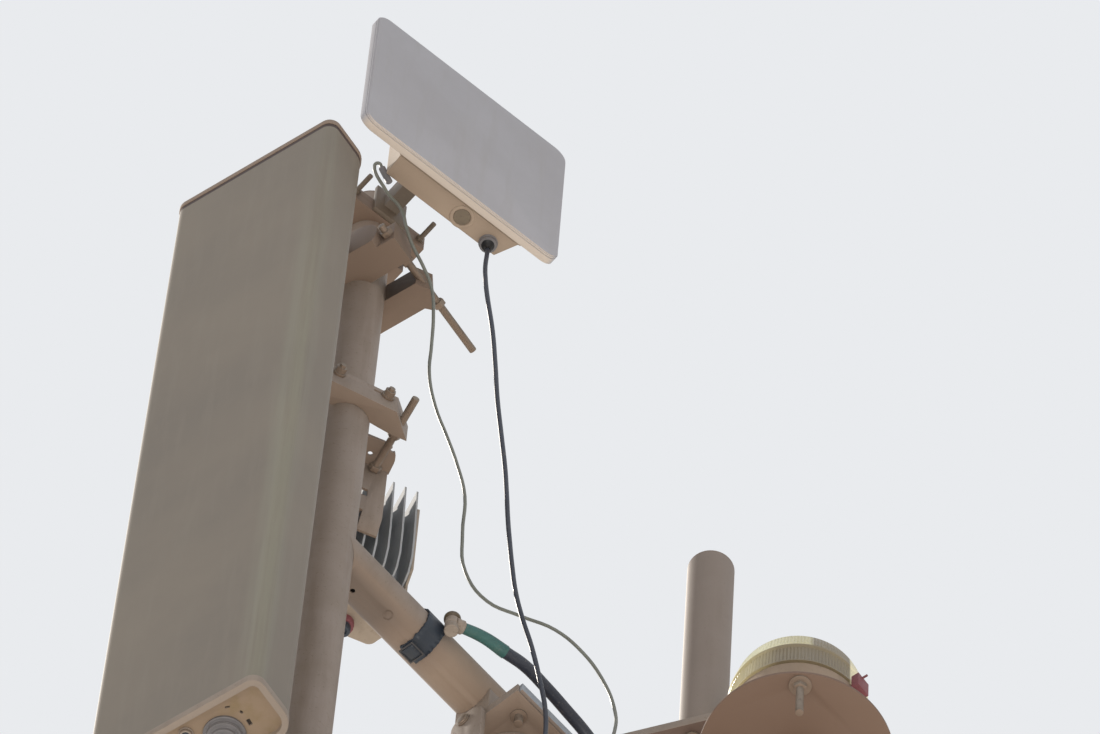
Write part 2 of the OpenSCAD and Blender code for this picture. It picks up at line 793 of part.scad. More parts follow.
module link_clamp_rods() {
  color("dimgray") around_pole(link_turn) {
    mirrored_y() translate([0, link_rod_y, link_clamp_up]) rotate([0, 0, -90])
      nutted_rod(link_rod_d, -link_clamp_out - 14, link_rod_out,
                 [-link_clamp_out - 0.8 * link_rod_d, link_clamp_out]);
    translate([link_pivot_x, -link_tongue_w / 2 - 8 - fit, link_clamp_up + 30]) rotate([-90, 0, 0]) union() {
      translate([0, 0, -12]) cylinder(d = link_pivot_d, h = link_tongue_w + 16 + 2 * fit + 24);
      translate([0, 0, -7]) hex(18, 7);
      translate([0, 0, link_tongue_w + 16 + 2 * fit]) hex(18, 7);
    }
  }
}

// Finned radio, drawn with X out of its fins and Y to its side

module radio_body() {
  hw = radio_w / 2;
  h = radio_top - radio_up;
  root = body_front - 1;
  back = body_back + radio_corner_depth;
  color("dimgray") around_pole(radio_turn) translate([0, 0, radio_up]) union() {
    linear_extrude(h) polygon([
      [body_front, -hw], [body_front, hw], [back, hw - radio_side_taper], [body_back, hw - radio_corner_taper],
      [body_back, -hw + radio_corner_taper], [back, -hw + radio_side_taper]]);
    for (s = [-1, 1]) translate([0, s * (hw - cheek_t / 2) + cheek_t / 2, 0]) rotate([90, 0, 0])
      linear_extrude(cheek_t) polygon([
        [root, 0], [floor_out, 0], [floor_out, floor_lip], [cheek_out, floor_lip - floor_out + cheek_out],
        [cheek_out, h - shell_short], [root, h - shell_short]]);
    translate([root, -hw + 1, 0]) cube([floor_out - root, radio_w - 2, cheek_t]);
  }
}

// Side view of one fin, as distance out of the pole and height above the arm's axis
fin_profile = [
  [fin_root - 1, radio_top + 10], [fin_tip - 8, radio_top - 4], [fin_tip, radio_top - 2.7 * shell_short],
  [fin_tip, radio_up + fin_low + 45], [fin_tip - 9, radio_up + fin_low + 11],
  [fin_tip - 22, radio_up + fin_low + 5], [fin_root - 1, radio_up + fin_low]];
module radio_fins() {
  plate_w = radio_w - 2 * (cheek_t + fit);
  color("dimgray") around_pole(radio_turn) union() {
    translate([fin_root - fin_base_t, -plate_w / 2, radio_up + cheek_t])
      cube([fin_base_t, plate_w, radio_top - radio_up - cheek_t]);
    for (i = [0 : fin_count - 1])
      translate([0, i * fin_pitch - fin_span / 2 + fin_t / 2, 0]) rotate([90, 0, 0])
        linear_extrude(fin_t) polygon(fin_profile);
  }
}

connector_pitch = 60;
module radio_connectors() {
  color("black") around_pole(radio_turn) for (i = [-1.5 : 1 : 1.5])
    translate([(body_front + body_back) / 2, i * connector_pitch, radio_up]) mirror([0, 0, 1]) union() {
      cylinder(d = 30, h = 5);
      cylinder(d = 23, h = 28);
    }
}

// Folded sheet between the pole and the radio, with a tab above the rods and two feet below
tab_z = radio_clamp_up + 29;
tab_t = 6;
tab_out = -16;
tab_w = 200;
tab_r = 28;
tab_hole_d = 8;
sheet_low = radio_clamp_up - 117;
foot_front = -82.7;
foot_drop = 34;
foot_in = 64;
foot_out = 97;
spacer_in = 35;
spacer_w = 30;
spacer_up = 17;
spacer_h = 28;
slot_in = 59;
slot_w = 10;
slot_h = 21;
slot_up = 46;
module radio_bracket() {
  sheet_out = sheet_x + sheet_t;
  color("tan") difference() {
    around_pole(radio_turn) difference() {
      union() {
        translate([sheet_x, -sheet_w / 2, sheet_low]) cube([sheet_t, sheet_w, tab_z + tab_t - sheet_low]);
        translate([0, 0, tab_z]) linear_extrude(tab_t) polygon(concat(
          [[sheet_x, -tab_w / 2], [tab_out - tab_r, -tab_w / 2]],
          arc([tab_out - tab_r, -tab_w / 2 + tab_r], tab_r, 270, 360),
          arc([tab_out - tab_r, tab_w / 2 - tab_r], tab_r, 0, 90),
          [[sheet_x, tab_w / 2]]));
        mirrored_y() translate([0, foot_out, sheet_low]) rotate([90, 0, 0])
          linear_extrude(foot_out - foot_in)
            polygon([[sheet_out, 1], [sheet_x, 1], [foot_front, 10 - foot_drop], [foot_front, -foot_drop],
                     [foot_front + 4, -foot_drop], [sheet_out, -5]]);
        mirrored_y() translate([foot_front, spacer_in, sheet_low + spacer_up])
          cube([sheet_x - foot_front + 1, spacer_w, spacer_h]);
      }
      translate([0, 0, tab_z - 1]) cylinder(r = pole_r + fit, h = tab_t + 2);
      mirrored_y() translate([sheet_x - 1, slot_in, sheet_low + slot_up])
        cube([sheet_t + 2, slot_w, slot_h]);
      mirrored_y() {
        translate([-24, 90, tab_z - 1]) cylinder(d = tab_hole_d, h = tab_t + 2);
        translate([-44, 60, tab_z - 1]) cylinder(d = tab_hole_d, h = tab_t + 2);
      }
    }
    at_radio_rods() translate([sheet_x - 20, 0, 0]) rotate([0, 90, 0])
      cylinder(d = radio_rod_d + bolt_gap, h = 40);
  }
}

// The two rods of the radio's pole clamp, which cross the bracket's sheet a little askew
module at_radio_rods() {
  around_pole(radio_clamp_turn) mirrored_y()
    translate([0, radio_rod_y, radio_clamp_up + radio_rod_z]) children();
}

// Outline of the cast front half, as side and distance out of the pole
radio_clamp_right = [[33, 22], [47, 20.8], [68, 19.6], [96, 21], [60, 58.5]];
radio_face = 58.5;
radio_bolt_y = 42;
radio_bolt_z = 34;
radio_bolt_d = 10;
module radio_clamp_front() {
  left = mirror_x(radio_clamp_right);
  color("tan") around_pole(radio_clamp_turn) translate([0, 0, radio_clamp_up]) difference() {
    mirror([1, -1, 0]) linear_extrude(radio_clamp_h) polygon(concat(radio_clamp_right, left));
    translate([0, 0, -1]) cylinder(r = pole_r + fit, h = radio_clamp_h + 2);
    mirrored_y() translate([0, radio_rod_y, radio_rod_z]) rotate([0, 90, 0])
      cylinder(d = radio_rod_d + bolt_gap, h = 80);
    mirrored_y() translate([radio_face - 19, radio_bolt_y, radio_bolt_z]) rotate([0, 90, 0])
      cylinder(d = radio_bolt_d + bolt_gap, h = 20);
    translate([radio_face - 6, 19, radio_clamp_h - 14]) cube([7, 12, 5]);
  }
}

module radio_clamp_bolts() {
  color("gray") around_pole(radio_clamp_turn) mirrored_y()
    translate([radio_face, radio_bolt_y, radio_clamp_up + radio_bolt_z]) rotate([0, 90, 0]) union() {
      translate([0, 0, -18]) cylinder(d = radio_bolt_d, h = 18.5);
      cylinder(d = 22, h = 4);
      translate([0, 0, 3.5]) hex(18, 9);
      translate([0, 0, 12]) cylinder(d = radio_bolt_d, h = 5);
    }
}

// Each rod has a nut on both sides of the sheet and one behind the casting
module radio_clamp_rods() {
  skew = radio_clamp_turn - radio_turn;
  nut = 0.8 * radio_rod_d;
  lean = 0.9 * radio_rod_d * tan(skew);
  color("gray") around_pole(radio_clamp_turn) for (s = [-1, 1]) {
    seat = sheet_x / cos(skew) + s * radio_rod_y * tan(skew);
    translate([0, s * radio_rod_y, radio_clamp_up + radio_rod_z]) rotate([0, 0, -90])
      nutted_rod(radio_rod_d, seat - nut - 7, radio_rod_out,
                 [seat - nut - lean, seat + sheet_t + lean + 0.1, 19.2 - nut]);
  }
}

// Coaxial cable on the arm

// Edge of the strap's gap, far outside the band
function strap_edge(turn) = 80 * [sin(turn), cos(turn)];
module coax_strap() {
  r = pole_r + fit + strap_t;
  color("darkslategray") translate([0, strap_y, arm_z]) union() {
    difference() {
      rotate([-90, 0, 0]) translate([0, 0, -strap_band_w / 2]) cylinder(r = r, h = strap_band_w);
      rotate([-90, 0, 0]) translate([0, 0, -strap_band_w / 2 - 1])
        cylinder(r = pole_r + fit, h = strap_band_w + 2);
      translate([0, strap_band_w / 2 + 1, 0]) rotate([90, 0, 0]) linear_extrude(strap_band_w + 2)
        polygon([[0, 0], strap_edge(strap_to), strap_edge((strap_from + 360 + strap_to) / 2),
                 strap_edge(strap_from + 360)]);
    }
    rotate([0, strap_to - 16, 0]) translate([-11, -strap_band_w / 2 + 4, r - 0.5]) cube([22, 22, 6]);
  }
}

module coax_fitting() {
  color("tan") translate([fitting_x, fitting_y, arm_z]) union() {
    translate([0, 0, -22]) cylinder(d = fitting_d, h = 36);
    translate([0, 0, 12]) cylinder(d = fitting_lid_d, h = 9);
  }
}

module coax_sleeve() {
  color("seagreen") difference() {
    cord(sleeve_route, sleeve_d);
    translate([fitting_x, fitting_y, arm_z - 30]) cylinder(d = fitting_d + 2 * fit, h = 60);
  }
}

module coax_cable() {
  color("black") cord(coax_route, coax_d);
}

module cable_a() {
  color("darkolivegreen") cord(cable_a_route, cable_a_d);
}

module cable_b() {
  color("black") cord(cable_b_route, cable_b_d);
}

// Hole for the lower end of a cable through the blocks
module cable_bore(route, d) {
  end = route[len(route) - 1];
  translate([end[0], end[1], arm_z - cable_clamp_drop - cable_clamp_h - 1])
    cylinder(d = d + 1, h = cable_clamp_h + 2);
}

// Two blocks on the mast that hold the cables' lower ends, as length and width
thin_block = [128, 60];
coax_block = [120, 52];
module cable_clamps() {
  z = arm_z - cable_clamp_drop - cable_clamp_h;
  color("dimgray") difference() {
    union() {
      rotate([0, 0, -20]) translate([0, -24, z]) cube([thin_block[0], thin_block[1], cable_clamp_h]);
      rotate([0, 0, 80]) translate([0, -coax_block[1] / 2, z]) cube([coax_block[0], coax_block[1], cable_clamp_h]);
    }
    translate([0, 0, z - 1]) cylinder(r = mast_r + fit, h = cable_clamp_h + 2);
    cable_bore(cable_a_route, cable_a_d);
    cable_bore(cable_b_route, cable_b_d);
    cable_bore(coax_route, coax_d);
  }
}

// Side bar and side pole

module side_bar() {
  z = arm_z - bar_drop - bar_t;
  color("tan") rotate([0, 0, side_turn]) difference() {
    translate([0, -bar_w / 2, z]) cube([bar_len, bar_w, bar_t]);
    translate([0, 0, z - 1]) cylinder(r = mast_r + fit, h = bar_t + 2);
    mirrored_y() translate([side_pole_r - side_bolt_in, side_bolt_y, z - 1])
      cylinder(d = side_bolt_d + bolt_gap, h = bar_t + 2);
  }
}

module at_side_pole() {
  rotate([0, 0, side_turn]) translate([side_pole_r, 0, arm_z - bar_drop]) children();
}

module side_pole() {
  color("tan") at_side_pole() tube(side_pole_d, pole_wall, side_pole_up + bar_drop);
}

// Bolts in the foot of the side pole, with their heads inside its tube
side_bolt_in = 10;
side_bolt_y = 18;
side_bolt_d = 12;
module side_pole_bolts() {
  top = arm_z - bar_drop;
  color("silver") rotate([0, 0, side_turn]) mirrored_y()
    translate([side_pole_r - side_bolt_in, side_bolt_y, 0]) union() {
      translate([0, 0, top]) hex(19, 8);
      translate([0, 0, top - bar_t - 30]) cylinder(d = side_bolt_d, h = bar_t + 31);
      translate([0, 0, top - bar_t - 4]) cylinder(d = 24, h = 4);
      translate([0, 0, top - bar_t - 13]) hex(20, 9.5);
    }
}

// Beacon

module at_beacon() {
  rotate([0, 0, beacon_turn]) translate([beacon_r, 0, arm_z - beacon_drop]) children();
}

module beacon_arm() {
  z = arm_z - beacon_arm_drop;
  pipe_r = beacon_pipe_d / 2;
  color("tan") difference() {
    union() {
      translate([0, 0, z - collar_h / 2]) cylinder(r = mast_r + fit + collar_t, h = collar_h);
      rotate([0, 0, beacon_turn]) translate([0, 0, z]) rotate([0, 90, 0]) cylinder(r = pipe_r, h = beacon_r);
    }
    translate([0, 0, z - collar_h / 2 - 1]) cylinder(r = mast_r + fit, h = collar_h + 2);
    rotate([0, 0, beacon_turn]) translate([mast_r + collar_t + 1, 0, z]) rotate([0, 90, 0])
      cylinder(r = pipe_r - pole_wall, h = beacon_r + pipe_r);
    rotate([0, 0, beacon_turn]) translate([beacon_r, 0, z - pipe_r - 1]) cylinder(r = pipe_r + fit, h = 2 * pipe_r + 2);
  }
}

module beacon_post() {
  low = beacon_arm_drop - beacon_drop + beacon_pipe_d / 2 + 12;
  color("tan") at_beacon() translate([0, 0, -low]) cylinder(d = beacon_pipe_d, h = low - beacon_plate_t);
}

module at_beacon_bolts() {
  at_beacon() for (a = [0 : 90 : 270])
    rotate([0, 0, beacon_bolt_turn + a]) translate([beacon_bolt_r, 0, 0]) children();
}

module beacon_plate() {
  color("tan") difference() {
    at_beacon() translate([0, 0, -beacon_plate_t]) cylinder(d = beacon_plate_d, h = beacon_plate_t, $fn = 96);
    at_beacon_bolts() translate([0, 0, -beacon_plate_t - 1])
      cylinder(d = beacon_bolt_d + bolt_gap, h = beacon_plate_t + 2);
  }
}

module beacon_bolts() {
  color("tan") at_beacon_bolts() union() {
    hex(19, 8);
    translate([0, 0, -beacon_plate_t - beacon_bolt_hang]) cylinder(d = beacon_bolt_d, h = beacon_bolt_hang + 8);
    translate([0, 0, -beacon_plate_t - 3]) cylinder(d = 34, h = 3);
    translate([0, 0, -beacon_plate_t - 13]) hex(22, 10.5);
  }
}

module beacon_base() {
  r = beacon_d / 2;
  color("wheat") at_beacon() rotate_extrude()
    polygon([[0, 0], [r, 0], [r, beacon_base_h - 5], [r - 3, beacon_base_h], [0, beacon_base_h]]);
}

module beacon_lens() {
  r = beacon_d / 2 + 2;
  h = beacon_lens_h;
  color("khaki") at_beacon() translate([0, 0, beacon_base_h]) rotate_extrude()
    polygon([[0, 0], [r, 0], [r, 3], [r - 4, 0.5 * h], [r - 2, 0.52 * h], [r - 2, 0.55 * h],
             [r - 11, h - 8], [r - 20, h - 2], [r - 34, h], [0, h]]);
}

clip_turn = 5;
module beacon_clip() {
  r = beacon_d / 2;
  color("indianred") at_beacon() rotate([0, 0, clip_turn - beacon_turn]) union() {
    translate([r + 2.3, -13, beacon_base_h - 22]) cube([13, 26, 34]);
    translate([r + 10, -4, beacon_base_h + 8]) cube([14, 3, 3]);
  }
}

base_flange();
base_gussets();
mast_tube();
mast_top_flange();
head_plate();
head_side_bars();
head_bolts();
arm_saddles();
arm_tube();
arm_end_cap();
arm_strap_plate();
arm_strap_bolts();
mast_lug();
antenna_pole();
pole_caps();
antenna_body();
antenna_top_cap();
antenna_bottom_cap();
antenna_connectors();
antenna_brackets();
antenna_clamps_near();
antenna_clamps_far();
antenna_clamp_rods();
link_panel();
link_housing();
link_plug();
link_gland();
link_back_gland();
link_yoke();
link_bracket();
link_clamp_front();
link_clamp_back();
link_clamp_rods();
radio_body();
radio_fins();
radio_connectors();
radio_bracket();
radio_clamp_front();
radio_clamp_bolts();
radio_clamp_rods();
coax_strap();
coax_fitting();
coax_sleeve();
coax_cable();
cable_a();
cable_b();
cable_clamps();
side_bar();
side_pole();
side_pole_bolts();
beacon_arm();
beacon_post();
beacon_plate();
beacon_bolts();
beacon_base();
beacon_lens();
beacon_clip();
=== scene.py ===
"""Dresses the head of a cell tower: finishes, cables, small details, rounded edges, camera and stage."""
import json
import math

import bpy
from bpy.props import FloatProperty, FloatVectorProperty, IntProperty, PointerProperty
from bpy.types import Operator, Panel, PropertyGroup
from mathutils import Matrix, Vector


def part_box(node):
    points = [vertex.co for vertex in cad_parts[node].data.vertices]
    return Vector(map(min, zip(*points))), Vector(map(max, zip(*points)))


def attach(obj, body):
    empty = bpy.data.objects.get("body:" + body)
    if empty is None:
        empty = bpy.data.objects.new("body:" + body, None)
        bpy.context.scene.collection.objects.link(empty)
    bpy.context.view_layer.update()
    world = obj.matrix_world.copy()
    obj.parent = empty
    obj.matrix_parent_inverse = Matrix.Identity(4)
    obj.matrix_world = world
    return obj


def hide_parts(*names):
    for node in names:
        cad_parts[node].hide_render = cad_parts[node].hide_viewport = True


bl_info = {
    "name": "Cell tower mast head",
    "version": (1, 1, 0),
    "blender": (4, 5, 0),
    "location": "View3D > Sidebar > Mast head",
    "description": "Builds and finishes the head of a cell tower piece by piece",
    "category": "Object",
}

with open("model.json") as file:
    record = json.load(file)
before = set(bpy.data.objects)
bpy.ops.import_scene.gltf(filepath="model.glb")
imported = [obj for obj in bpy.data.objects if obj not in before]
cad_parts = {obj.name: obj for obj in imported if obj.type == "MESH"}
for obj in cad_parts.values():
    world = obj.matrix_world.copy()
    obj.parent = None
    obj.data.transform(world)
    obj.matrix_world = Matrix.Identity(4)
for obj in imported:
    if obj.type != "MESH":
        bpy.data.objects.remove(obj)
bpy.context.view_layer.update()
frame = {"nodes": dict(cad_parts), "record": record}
nodes = frame["nodes"]
slot_of = {part["node"]: part["material_slot"] for part in frame["record"]["subparts"]}

MM = 0.001
RIGHT, BACK, UP = (1, 0, 0), (0, 1, 0), (0, 0, 1)
FRONT = (0, -1, 0)
LEVEL = (1, 1, 0)

# Places in metres and turns about the upright, from the frame's plan

ARM_Z = 1.2
MAST_AT = Vector((0, 0, ARM_Z))
POLE_AT = Vector((0, -0.42, ARM_Z))
ANTENNA_TURN = math.radians(7.7)
LINK_TURN = math.radians(-9)
RADIO_TURN = math.radians(-25)
RADIO_CLAMP_TURN = math.radians(-21)
SIDE_TURN = math.radians(24.5)
BEACON_TURN = math.radians(22.2)
LENS_GLOW_TURN = math.radians(45.4)

# Radii of the tubes, and how far the units stand from their pole or mast, in millimetres

MAST_RADIUS = 57.15
ARM_RADIUS = 38.05
SIDE_POLE_RADIUS = 36.5
BEACON_POST_RADIUS = 30.15
SIDE_POLE_REACH = 299.5
BEACON_REACH = 452
RADIO_REACH = 170

# The dent under the arm, its ball's radius, and the round of the radio's far corners, in metres

DENT_TOWARDS = Vector((0.184, 0, -0.983))
DENT_AT = Vector((0, -0.2923, ARM_Z)) + DENT_TOWARDS * ARM_RADIUS * MM
DENT_RADIUS = 13 * MM
RADIO_CORNER = 14 * MM

# The level direction towards which the lens carries the most painted sunlight

SUNNY_SIDE = (-0.753, -0.657, 0)

# The photograph's camera: its place, its right and its up, and its focal length and width in pixels

CAMERA_AT = (4.9541, -4.8751, -10.942)
CAMERA_RIGHT = Vector((0.7529, 0.6569, 0.0390))
CAMERA_UP = Vector((0.5701, -0.6807, 0.4601))
FOCAL_LENGTH = 9275
IMAGE_WIDTH = 1100


def linear(hex_colour):
    """Linear colour of an sRGB hex value."""
    channels = [int(hex_colour[i:i + 2], 16) / 255 for i in (1, 3, 5)]
    return [c / 12.92 if c <= 0.04045 else ((c + 0.055) / 1.055) ** 2.4 for c in channels]


def heading(turn):
    """The level direction that +X takes when it is turned about the upright."""
    return Vector((math.cos(turn), math.sin(turn), 0))


def above_arm(height):
    """A height of the frame as millimetres above the arm's axis."""
    return (height - ARM_Z) / MM


# Cable diameters and routes in millimetres, with heights above the arm's axis

THIN_CABLE_DIAMETER = 5.5
LINK_CABLE_DIAMETER = 7.5
SLEEVE_DIAMETER = 21.4
COAX_DIAMETER = 19.5
THIN_CABLE_ROUTE = (
    (149, -545, 902), (148, -549, 908), (143, -552, 909), (139, -550, 903), (137, -544, 895),
    (135, -533, 891), (133, -521, 890), (130, -508, 890), (128, -496, 893), (127, -484, 897),
    (126, -473, 895), (126, -465, 885), (125, -458, 866), (124, -448, 845), (122, -432, 825),
    (121, -408, 803), (118, -381, 770), (107, -360, 720), (92, -343, 660), (80, -330, 600),
    (76, -306, 530), (81, -278, 460), (83, -256, 410), (81, -229, 340), (66, -212, 265),
    (56, -188, 185), (70, -150, 130), (104, -110, 100), (140, -71, 70), (162, -30, 30),
    (174, 4, -20), (181, 26, -85), (183, 28, -150), (175, 18, -215), (156, 0, -275),
    (132, -14, -322), (116, -20, -354), (112, -20, -372), (112, -20, -384),
)
LINK_CABLE_ROUTE = (
    (198, -345, 853), (198, -345, 838), (195, -343, 800), (193, -337, 760), (192, -329, 720),
    (189, -308, 640), (182, -288, 560), (176, -271, 480), (169, -249, 405), (162, -227, 330),
    (156, -213, 275), (151, -201, 220), (145, -187, 175), (139, -172, 130), (134, -154, 75),
    (131, -133, 30), (126, -104, -10), (119, -75, -60), (112, -50, -115), (104, -38, -170),
    (97, -36, -230), (92, -38, -300), (90, -38, -360), (90, -38, -384),
)
SLEEVE_ROUTE = ((60, -198, 0), (75, -155, 5), (83, -115, 5))
COAX_ROUTE = (
    (83, -115, 5), (90, -80, 5), (91, -35, 3), (90, 15, -1), (89, 64, -8), (88, 105, -26),
    (86, 138, -58), (80, 158, -102), (70, 164, -152), (56, 156, -202), (42, 138, -252),
    (28, 115, -304), (19, 99, -345), (17, 96, -368), (17, 96, -384),
)


class MastColours(PropertyGroup):
    """Colours of the finishes."""

    steel: FloatVectorProperty(
        name="Painted steel", description="Beige paint on the mast, arm and clamps",
        subtype="COLOR", size=3, min=0, max=1, default=linear("#968a82"))
    # Undersides take this colour as painted warm light bounced up from the ground
    steel_under: FloatVectorProperty(
        name="Steel undersides", description="Brown dirt that rain doesn't reach",
        subtype="COLOR", size=3, min=0, max=1, default=linear("#8a7768"))
    dust: FloatVectorProperty(
        name="Dust", description="Pale dust that settles on top faces",
        subtype="COLOR", size=3, min=0, max=1, default=linear("#c9bba6"))
    radome: FloatVectorProperty(
        name="Antenna cover", description="Grey-olive glass-fibre cover",
        subtype="COLOR", size=3, min=0, max=1, default=linear("#80776b"))
    link_face: FloatVectorProperty(
        name="Link radio face", description="Off-white moulded face",
        subtype="COLOR", size=3, min=0, max=1, default=linear("#acacb3"))
    lens: FloatVectorProperty(
        name="Beacon lens", description="Faded amber lens",
        subtype="COLOR", size=3, min=0, max=1, default=linear("#8b7f66"))


class MastSizes(PropertyGroup):
    """Sizes of the details that the solids leave out."""

    edge: FloatProperty(
        name="Edge rounding", description="Radius of the rounded edges of plates and tubes",
        default=1.0 * MM, min=0.0, max=5 * MM, unit="LENGTH")
    cast_edge: FloatProperty(
        name="Casting rounding", description="Radius of the rounded edges of the cast clamps",
        default=3.0 * MM, min=0.0, max=8 * MM, unit="LENGTH")
    bolt_edge: FloatProperty(
        name="Bolt rounding", description="Radius of the rounded edges of bolt heads and nuts",
        default=0.6 * MM, min=0.0, max=1.5 * MM, unit="LENGTH")
    weld: FloatProperty(
        name="Weld bead", description="Radius of the weld beads",
        default=3.5 * MM, min=1 * MM, max=6 * MM, unit="LENGTH")
    crest: FloatProperty(
        name="Thread crest", description="Height of the threads' crests above their rods",
        default=0.4 * MM, min=0.0, max=0.5 * MM, unit="LENGTH")
    lens_ribs: IntProperty(
        name="Lens ribs", description="Number of upright ribs around the beacon's lens",
        default=120, min=24, max=180)
    dent: FloatProperty(
        name="Dent", description="Depth of the dent under the arm",
        default=2.2 * MM, min=0.2 * MM, max=3 * MM, unit="LENGTH")


# Finishes

def add(tree, kind, inputs=None, links=None, **settings):
    """Adds one node with its settings, its input values and its incoming links."""
    node = tree.nodes.new(kind)
    for key, value in settings.items():
        setattr(node, key, value)
    for key, value in (inputs or {}).items():
        node.inputs[key].default_value = value
    for key, source in (links or {}).items():
        tree.links.new(source, node.inputs[key])
    return node


def new_material(name, roughness, metallic=0.0):
    """An empty material with its tree and its shader."""
    material = bpy.data.materials.new(name)
    material.use_nodes = True
    tree = material.node_tree
    shader = tree.nodes["Principled BSDF"]
    shader.inputs["Roughness"].default_value = roughness
    shader.inputs["Metallic"].default_value = metallic
    return material, tree, shader


def rise(tree, value, low, high):
    """A factor that goes from 0 to 1 as a value goes from low to high."""
    return add(tree, "ShaderNodeMapRange", {"From Min": low, "From Max": high}, {"Value": value},
               clamp=True).outputs["Result"]


def blotches(tree, coords, size, low, high, detail=4.0, stretch=None):
    """A factor that is 1 in blotches and 0 between them, which have that size in metres."""
    if stretch:
        coords = add(tree, "ShaderNodeMapping", {"Scale": stretch}, {"Vector": coords}).outputs["Vector"]
    clouds = add(tree, "ShaderNodeTexNoise", {"Scale": 1 / size, "Detail": detail, "Roughness": 0.6},
                 {"Vector": coords}).outputs["Fac"]
    return rise(tree, clouds, low, high)


def overlap(tree, first, *others):
    """Where several factors hold at once."""
    for other in others:
        first = add(tree, "ShaderNodeMath", {}, {0: first, 1: other}, operation="MULTIPLY").outputs[0]
    return first


def lay(tree, factor, coat, over, strength=1.0):
    """Lays a colour over a coat where a factor holds: a hex value, a linear colour or a node's output."""
    scaled = add(tree, "ShaderNodeMath", {1: strength}, {0: factor}, operation="MULTIPLY").outputs[0]
    node = add(tree, "ShaderNodeMix", {}, {0: scaled}, data_type="RGBA")
    for socket, colour in ((6, coat), (7, over)):
        if isinstance(colour, bpy.types.NodeSocket):
            tree.links.new(colour, node.inputs[socket])
        else:
            plain = linear(colour) if isinstance(colour, str) else colour
            node.inputs[socket].default_value = (*plain, 1)
    return node.outputs[2]


def along(tree, coords, direction, origin=(0, 0, 0)):
    """How far a point of the surface lies from the origin along a direction, in metres."""
    shifted = add(tree, "ShaderNodeVectorMath", {1: origin}, {0: coords}, operation="SUBTRACT").outputs[0]
    return add(tree, "ShaderNodeVectorMath", {1: direction}, {0: shifted},
               operation="DOT_PRODUCT").outputs["Value"]


def facing(tree, low, high, direction=UP):
    """A factor that rises from 0 to 1 as the surface turns towards a direction, upwards by default."""
    normal = add(tree, "ShaderNodeNewGeometry").outputs["Normal"]
    return rise(tree, along(tree, normal, direction), low, high)


def away(tree, coords, centre, kept=(1, 1, 1)):
    """How far a point of the surface lies from a centre, along the axes that are kept, in metres."""
    flat = add(tree, "ShaderNodeVectorMath", {1: kept}, {0: coords}, operation="MULTIPLY").outputs[0]
    target = [a * b for a, b in zip(centre, kept)]
    return add(tree, "ShaderNodeVectorMath", {1: target}, {0: flat}, operation="DISTANCE").outputs["Value"]


def band(tree, value, middle, half, soft):
    """A factor that is 1 near the middle and fades to 0 past half a width."""
    shifted = add(tree, "ShaderNodeMath", {1: middle}, {0: value}, operation="SUBTRACT").outputs[0]
    size = add(tree, "ShaderNodeMath", {}, {0: shifted}, operation="ABSOLUTE").outputs[0]
    return rise(tree, size, half + soft, half)


# Ranges over which a finish changes, in metres to the right

ARM_UNDERSIDE = (0.026, 0.01)
BAR_PAST_HEAD = (0.12, 0.13)
BEACON_SIDE = (0.31, 0.34)

# The same, in metres backwards

HIGH_CLAMPS_BACK = (-0.4, -0.395)
ARM_START = (-0.384, -0.383)
DARKER_STRETCH_START = (-0.25, -0.3)
LIGHTER_STRETCH_END = (-0.2, -0.17)

# The same, in metres upwards

UPPER_CAP = (1.7, 1.75)
GLAND_HEIGHT = (1.9, 1.95)
HIGH_CLAMPS = (1.9, 1.98)
STRIP_FADE = (2.3, 1.4)

# The same, in metres out from an axis

INSIDE_ARM = (35.4 * MM, 35 * MM)
ON_ARM = (39.5 * MM, 38.5 * MM)
ON_SIDE_POLE = (38 * MM, 37 * MM)
OFF_POLE = (38.5 * MM, 39.5 * MM)
COVER_FRONT = (0.235, 0.265)


def steel_zones(tree, coords, colour):
    """Greyer and browner pieces, with painted shade on the side bar's underside and in the back of the high
    clamp's channel.
    """
    height = along(tree, coords, UP)
    rightward = along(tree, coords, RIGHT)
    low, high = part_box("side_pole")
    side_pole = rise(tree, away(tree, coords, (low + high) / 2, LEVEL), *ON_SIDE_POLE)
    colour = lay(tree, side_pole, colour, "#7f746d", 0.6)
    low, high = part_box("side_bar")
    bar = band(tree, height, (low.z + high.z) / 2, (high.z - low.z) / 2, 1 * MM)
    # Painted shade on the side bar's underside
    bar_underside = overlap(tree, bar, rise(tree, rightward, *BAR_PAST_HEAD), facing(tree, -0.5, -0.9))
    colour = lay(tree, bar_underside, colour, "#655149", 0.85)
    colour = lay(tree, rise(tree, rightward, *BEACON_SIDE), colour, "#745c4d", 0.85)
    off_pole = rise(tree, away(tree, coords, POLE_AT, LEVEL), *OFF_POLE)
    clamps = overlap(tree, rise(tree, height, *HIGH_CLAMPS), off_pole)
    colour = lay(tree, clamps, colour, "#6f5c4e", 0.7)
    # Painted shade inside the high clamp's channel, on its faces that turn to the front
    clamps_back = rise(tree, along(tree, coords, BACK), *HIGH_CLAMPS_BACK)
    channel = overlap(tree, clamps_back, clamps, facing(tree, 0.5, 0.8, FRONT))
    colour = lay(tree, channel, colour, "#3a3029", 0.85)
    return arm_zones(tree, coords, colour)


